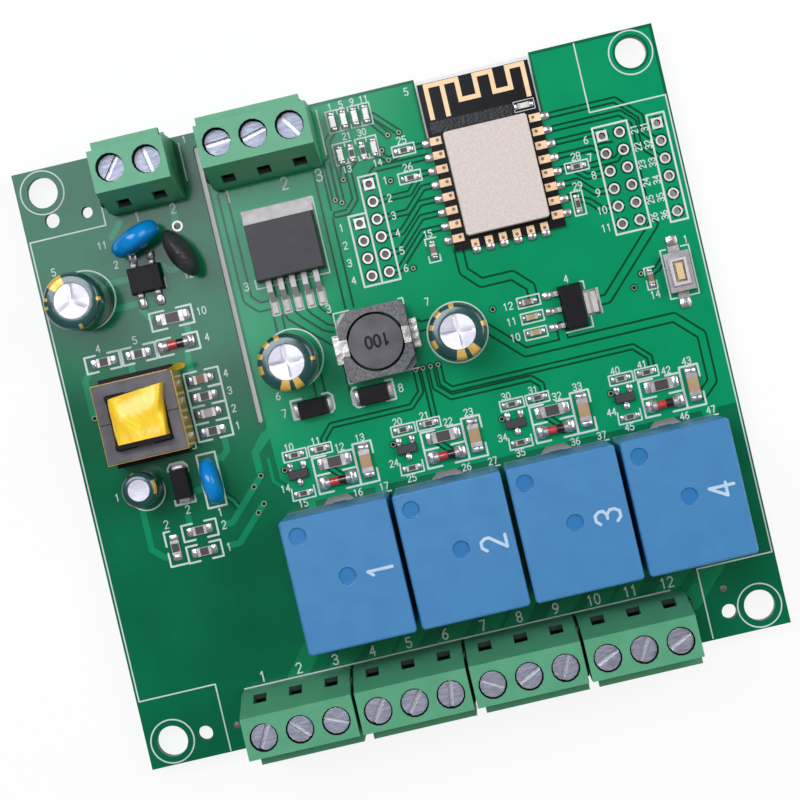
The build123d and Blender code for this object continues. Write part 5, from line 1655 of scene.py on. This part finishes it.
def reset_switch():
    dressed("reset_switch_cover", ["switch plate"], "shield_metal", None, 0.05)
    button = dressed("reset_button", ["cream"], "button_cream", None, 0.07, body="button")
    repaint("reset_switch_base", "bobbin")
    repaint("reset_switch_dome", "switch plate")
    repaint("reset_switch_leads", "tin")
    top = box_of("reset_switch_cover")[1].z
    low, high = box_of("reset_button")
    middle = (low + high) / 2 * MM
    for corner in button.data.vertices:
        corner.co.x = middle.x + (corner.co.x - middle.x) * button_slim[0]
        corner.co.y = middle.y + (corner.co.y - middle.y) * button_slim[1]
    rim = closed(rectangle(low.x, low.y, high.x, high.y))
    # The rim is the plate's own metal in a lighter finish: a painted highlight on its raised edge.
    plotted("switch_rim", [rim], 0.36, 0.1, "switch rim highlight", "shield_metal", square=True, low=top)
    mounds("switch_solder", [(42.3, 12.95), (42.3, 3.95)])


def underside():
    """Solder joints round every tail, and the plated rings of the open holes."""
    def middles(*nodes):
        return [middle_of(low, high) for node in nodes for low, high in islands(node)]

    clamps = [f"terminal_clamps_{block}" for block in terminal_blocks]
    cones("tail_joints", middles("relay_pins", *clamps), *tail_joint, "solder", z=0.0)
    cones("lead_joints", middles("radial_leads", "transformer_pins"), *lead_joint, "solder", z=0.0)
    rings("header_pads_under", header_points + [spare_hole], header_hole / 2,
          (header_pad - header_hole) / 2, pad_lift, "solder", -pad_lift / 2)


# Camera, light and floor
def lamp(name, place, power, size, tint=(1, 1, 1), turn=None):
    """A soft box that looks straight down, turned by some degrees, or else at the middle of the board."""
    data = bpy.data.lights.new(name, "AREA")
    data.energy = power
    data.color = tint
    data.shape = "RECTANGLE"
    data.size, data.size_y = size
    holder = bpy.data.objects.new(name, data)
    holder.location = place
    if turn is not None:
        holder.rotation_euler = (0, 0, math.radians(turn))
    else:
        holder.rotation_euler = (-Vector(place)).to_track_quat("-Z", "Y").to_euler()
    bpy.context.scene.collection.objects.link(holder)


def studio():
    scene = bpy.context.scene
    scene.view_settings.view_transform = "Standard"
    data = bpy.data.cameras.new("photo_view")
    data.lens = lens
    data.sensor_width = 36.0
    data.clip_start = 0.01
    data.clip_end = 20.0
    camera = bpy.data.objects.new("photo_view", data)
    axes = Matrix((camera_right, camera_up, camera_back)).transposed().to_4x4()
    camera.matrix_world = Matrix.Translation(Vector(camera_place) * MM) @ axes
    scene.collection.objects.link(camera)
    scene.camera = camera

    world = bpy.data.worlds.new("studio")
    scene.world = world
    world.use_nodes = True
    tree = world.node_tree
    back = tree.nodes["Background"]
    back.inputs["Color"].default_value = (1, 1, 1, 1)
    ray = add(tree, "ShaderNodeLightPath").outputs
    softened = add(tree, "ShaderNodeMapRange",
                   {"Value": ray["Is Glossy Ray"], "To Min": ambient, "To Max": glossy_ambient})
    seen = maths(tree, "MAXIMUM", ray["Is Camera Ray"], ray["Is Transmission Ray"])
    inputs = {"Value": seen, "To Min": softened.outputs["Result"], "To Max": 1.0}
    level = add(tree, "ShaderNodeMapRange", inputs)
    tree.links.new(level.outputs["Result"], back.inputs["Strength"])

    lamp("key_soft_box", key_place, key_power, key_size, key_tint, key_turn)
    lamp("fill_soft_box", fill_place, fill_power, fill_size)
    pale_floor()


def pale_floor():
    """A pale floor under the part; it glows to the camera, less under the board and least where only holes
    show it: painted shade seen through the holes.
    """
    mesh = bpy.data.meshes.new("pale_floor")
    low = solid_box[0][2]
    corners = rectangle(-floor_reach, -floor_reach, floor_reach, floor_reach)
    mesh.from_pydata([(x, y, low) for x, y in corners], [], [(0, 1, 2, 3)])
    floor = shown("pale_floor", mesh)
    mat = bpy.data.materials.new("pale floor")
    mat.use_nodes = True
    tree = mat.node_tree
    shader_of(mat).inputs["Base Color"].default_value = (0.9, 0.9, 0.9, 1)
    shader_of(mat).inputs["Roughness"].default_value = 0.9
    place = add(tree, "ShaderNodeNewGeometry").outputs["Position"]
    axes = add(tree, "ShaderNodeSeparateXYZ", {"Vector": place}).outputs

    def within(axis, low, high):
        return maths(tree, "COMPARE", axes[axis], (low + high) / 2 * MM, (high - low) / 2 * MM)

    def region(left, front, right, back):
        return maths(tree, "MULTIPLY", within("X", left, right), within("Y", front, back))

    # Painted shade: under the board, away from its corner holes, the floor glows less.
    inside = region(-board_half_length, -board_half_width, board_half_length, board_half_width)
    cross = maths(tree, "MAXIMUM", within("X", -34, 34), within("Y", -31, 31))
    middle = maths(tree, "MULTIPLY", inside, cross)
    # Painted shade: the floor glows least below the two headers, a strip along the relays and the spare
    # hole, so these holes look dark.
    dark = region(-2, 16, 4, 32)
    for box in ((34, 14, 46, 31), (-20, -16, 43, -10.5), (-27, 29, -23, 33)):
        dark = maths(tree, "MAXIMUM", dark, region(*box))
    shaded = maths(tree, "MULTIPLY_ADD", middle, middle_glow - outer_glow, outer_glow)
    share = maths(tree, "MULTIPLY_ADD", dark, painted_shade_glow - middle_glow, shaded)
    seen = maths(tree, "MULTIPLY", share, add(tree, "ShaderNodeLightPath").outputs["Is Camera Ray"])
    glow = add(tree, "ShaderNodeEmission", {"Strength": 1.0}).outputs["Emission"]
    blend = add(tree, "ShaderNodeMixShader", {"Fac": seen, 1: shader_of(mat).outputs["BSDF"], 2: glow})
    tree.links.new(blend.outputs["Shader"], tree.nodes["Material Output"].inputs["Surface"])
    mesh.materials.append(mat)


studio()
repaint("circuit_board", "mask")
board_layers()
pads_and_holes()
board_print()
board_numbers()
relays()
terminals()
wireless_module()
chips()
glass_diodes()
packages()
capacitors()
discs()
transformer()
inductor()
reset_switch()
underside()
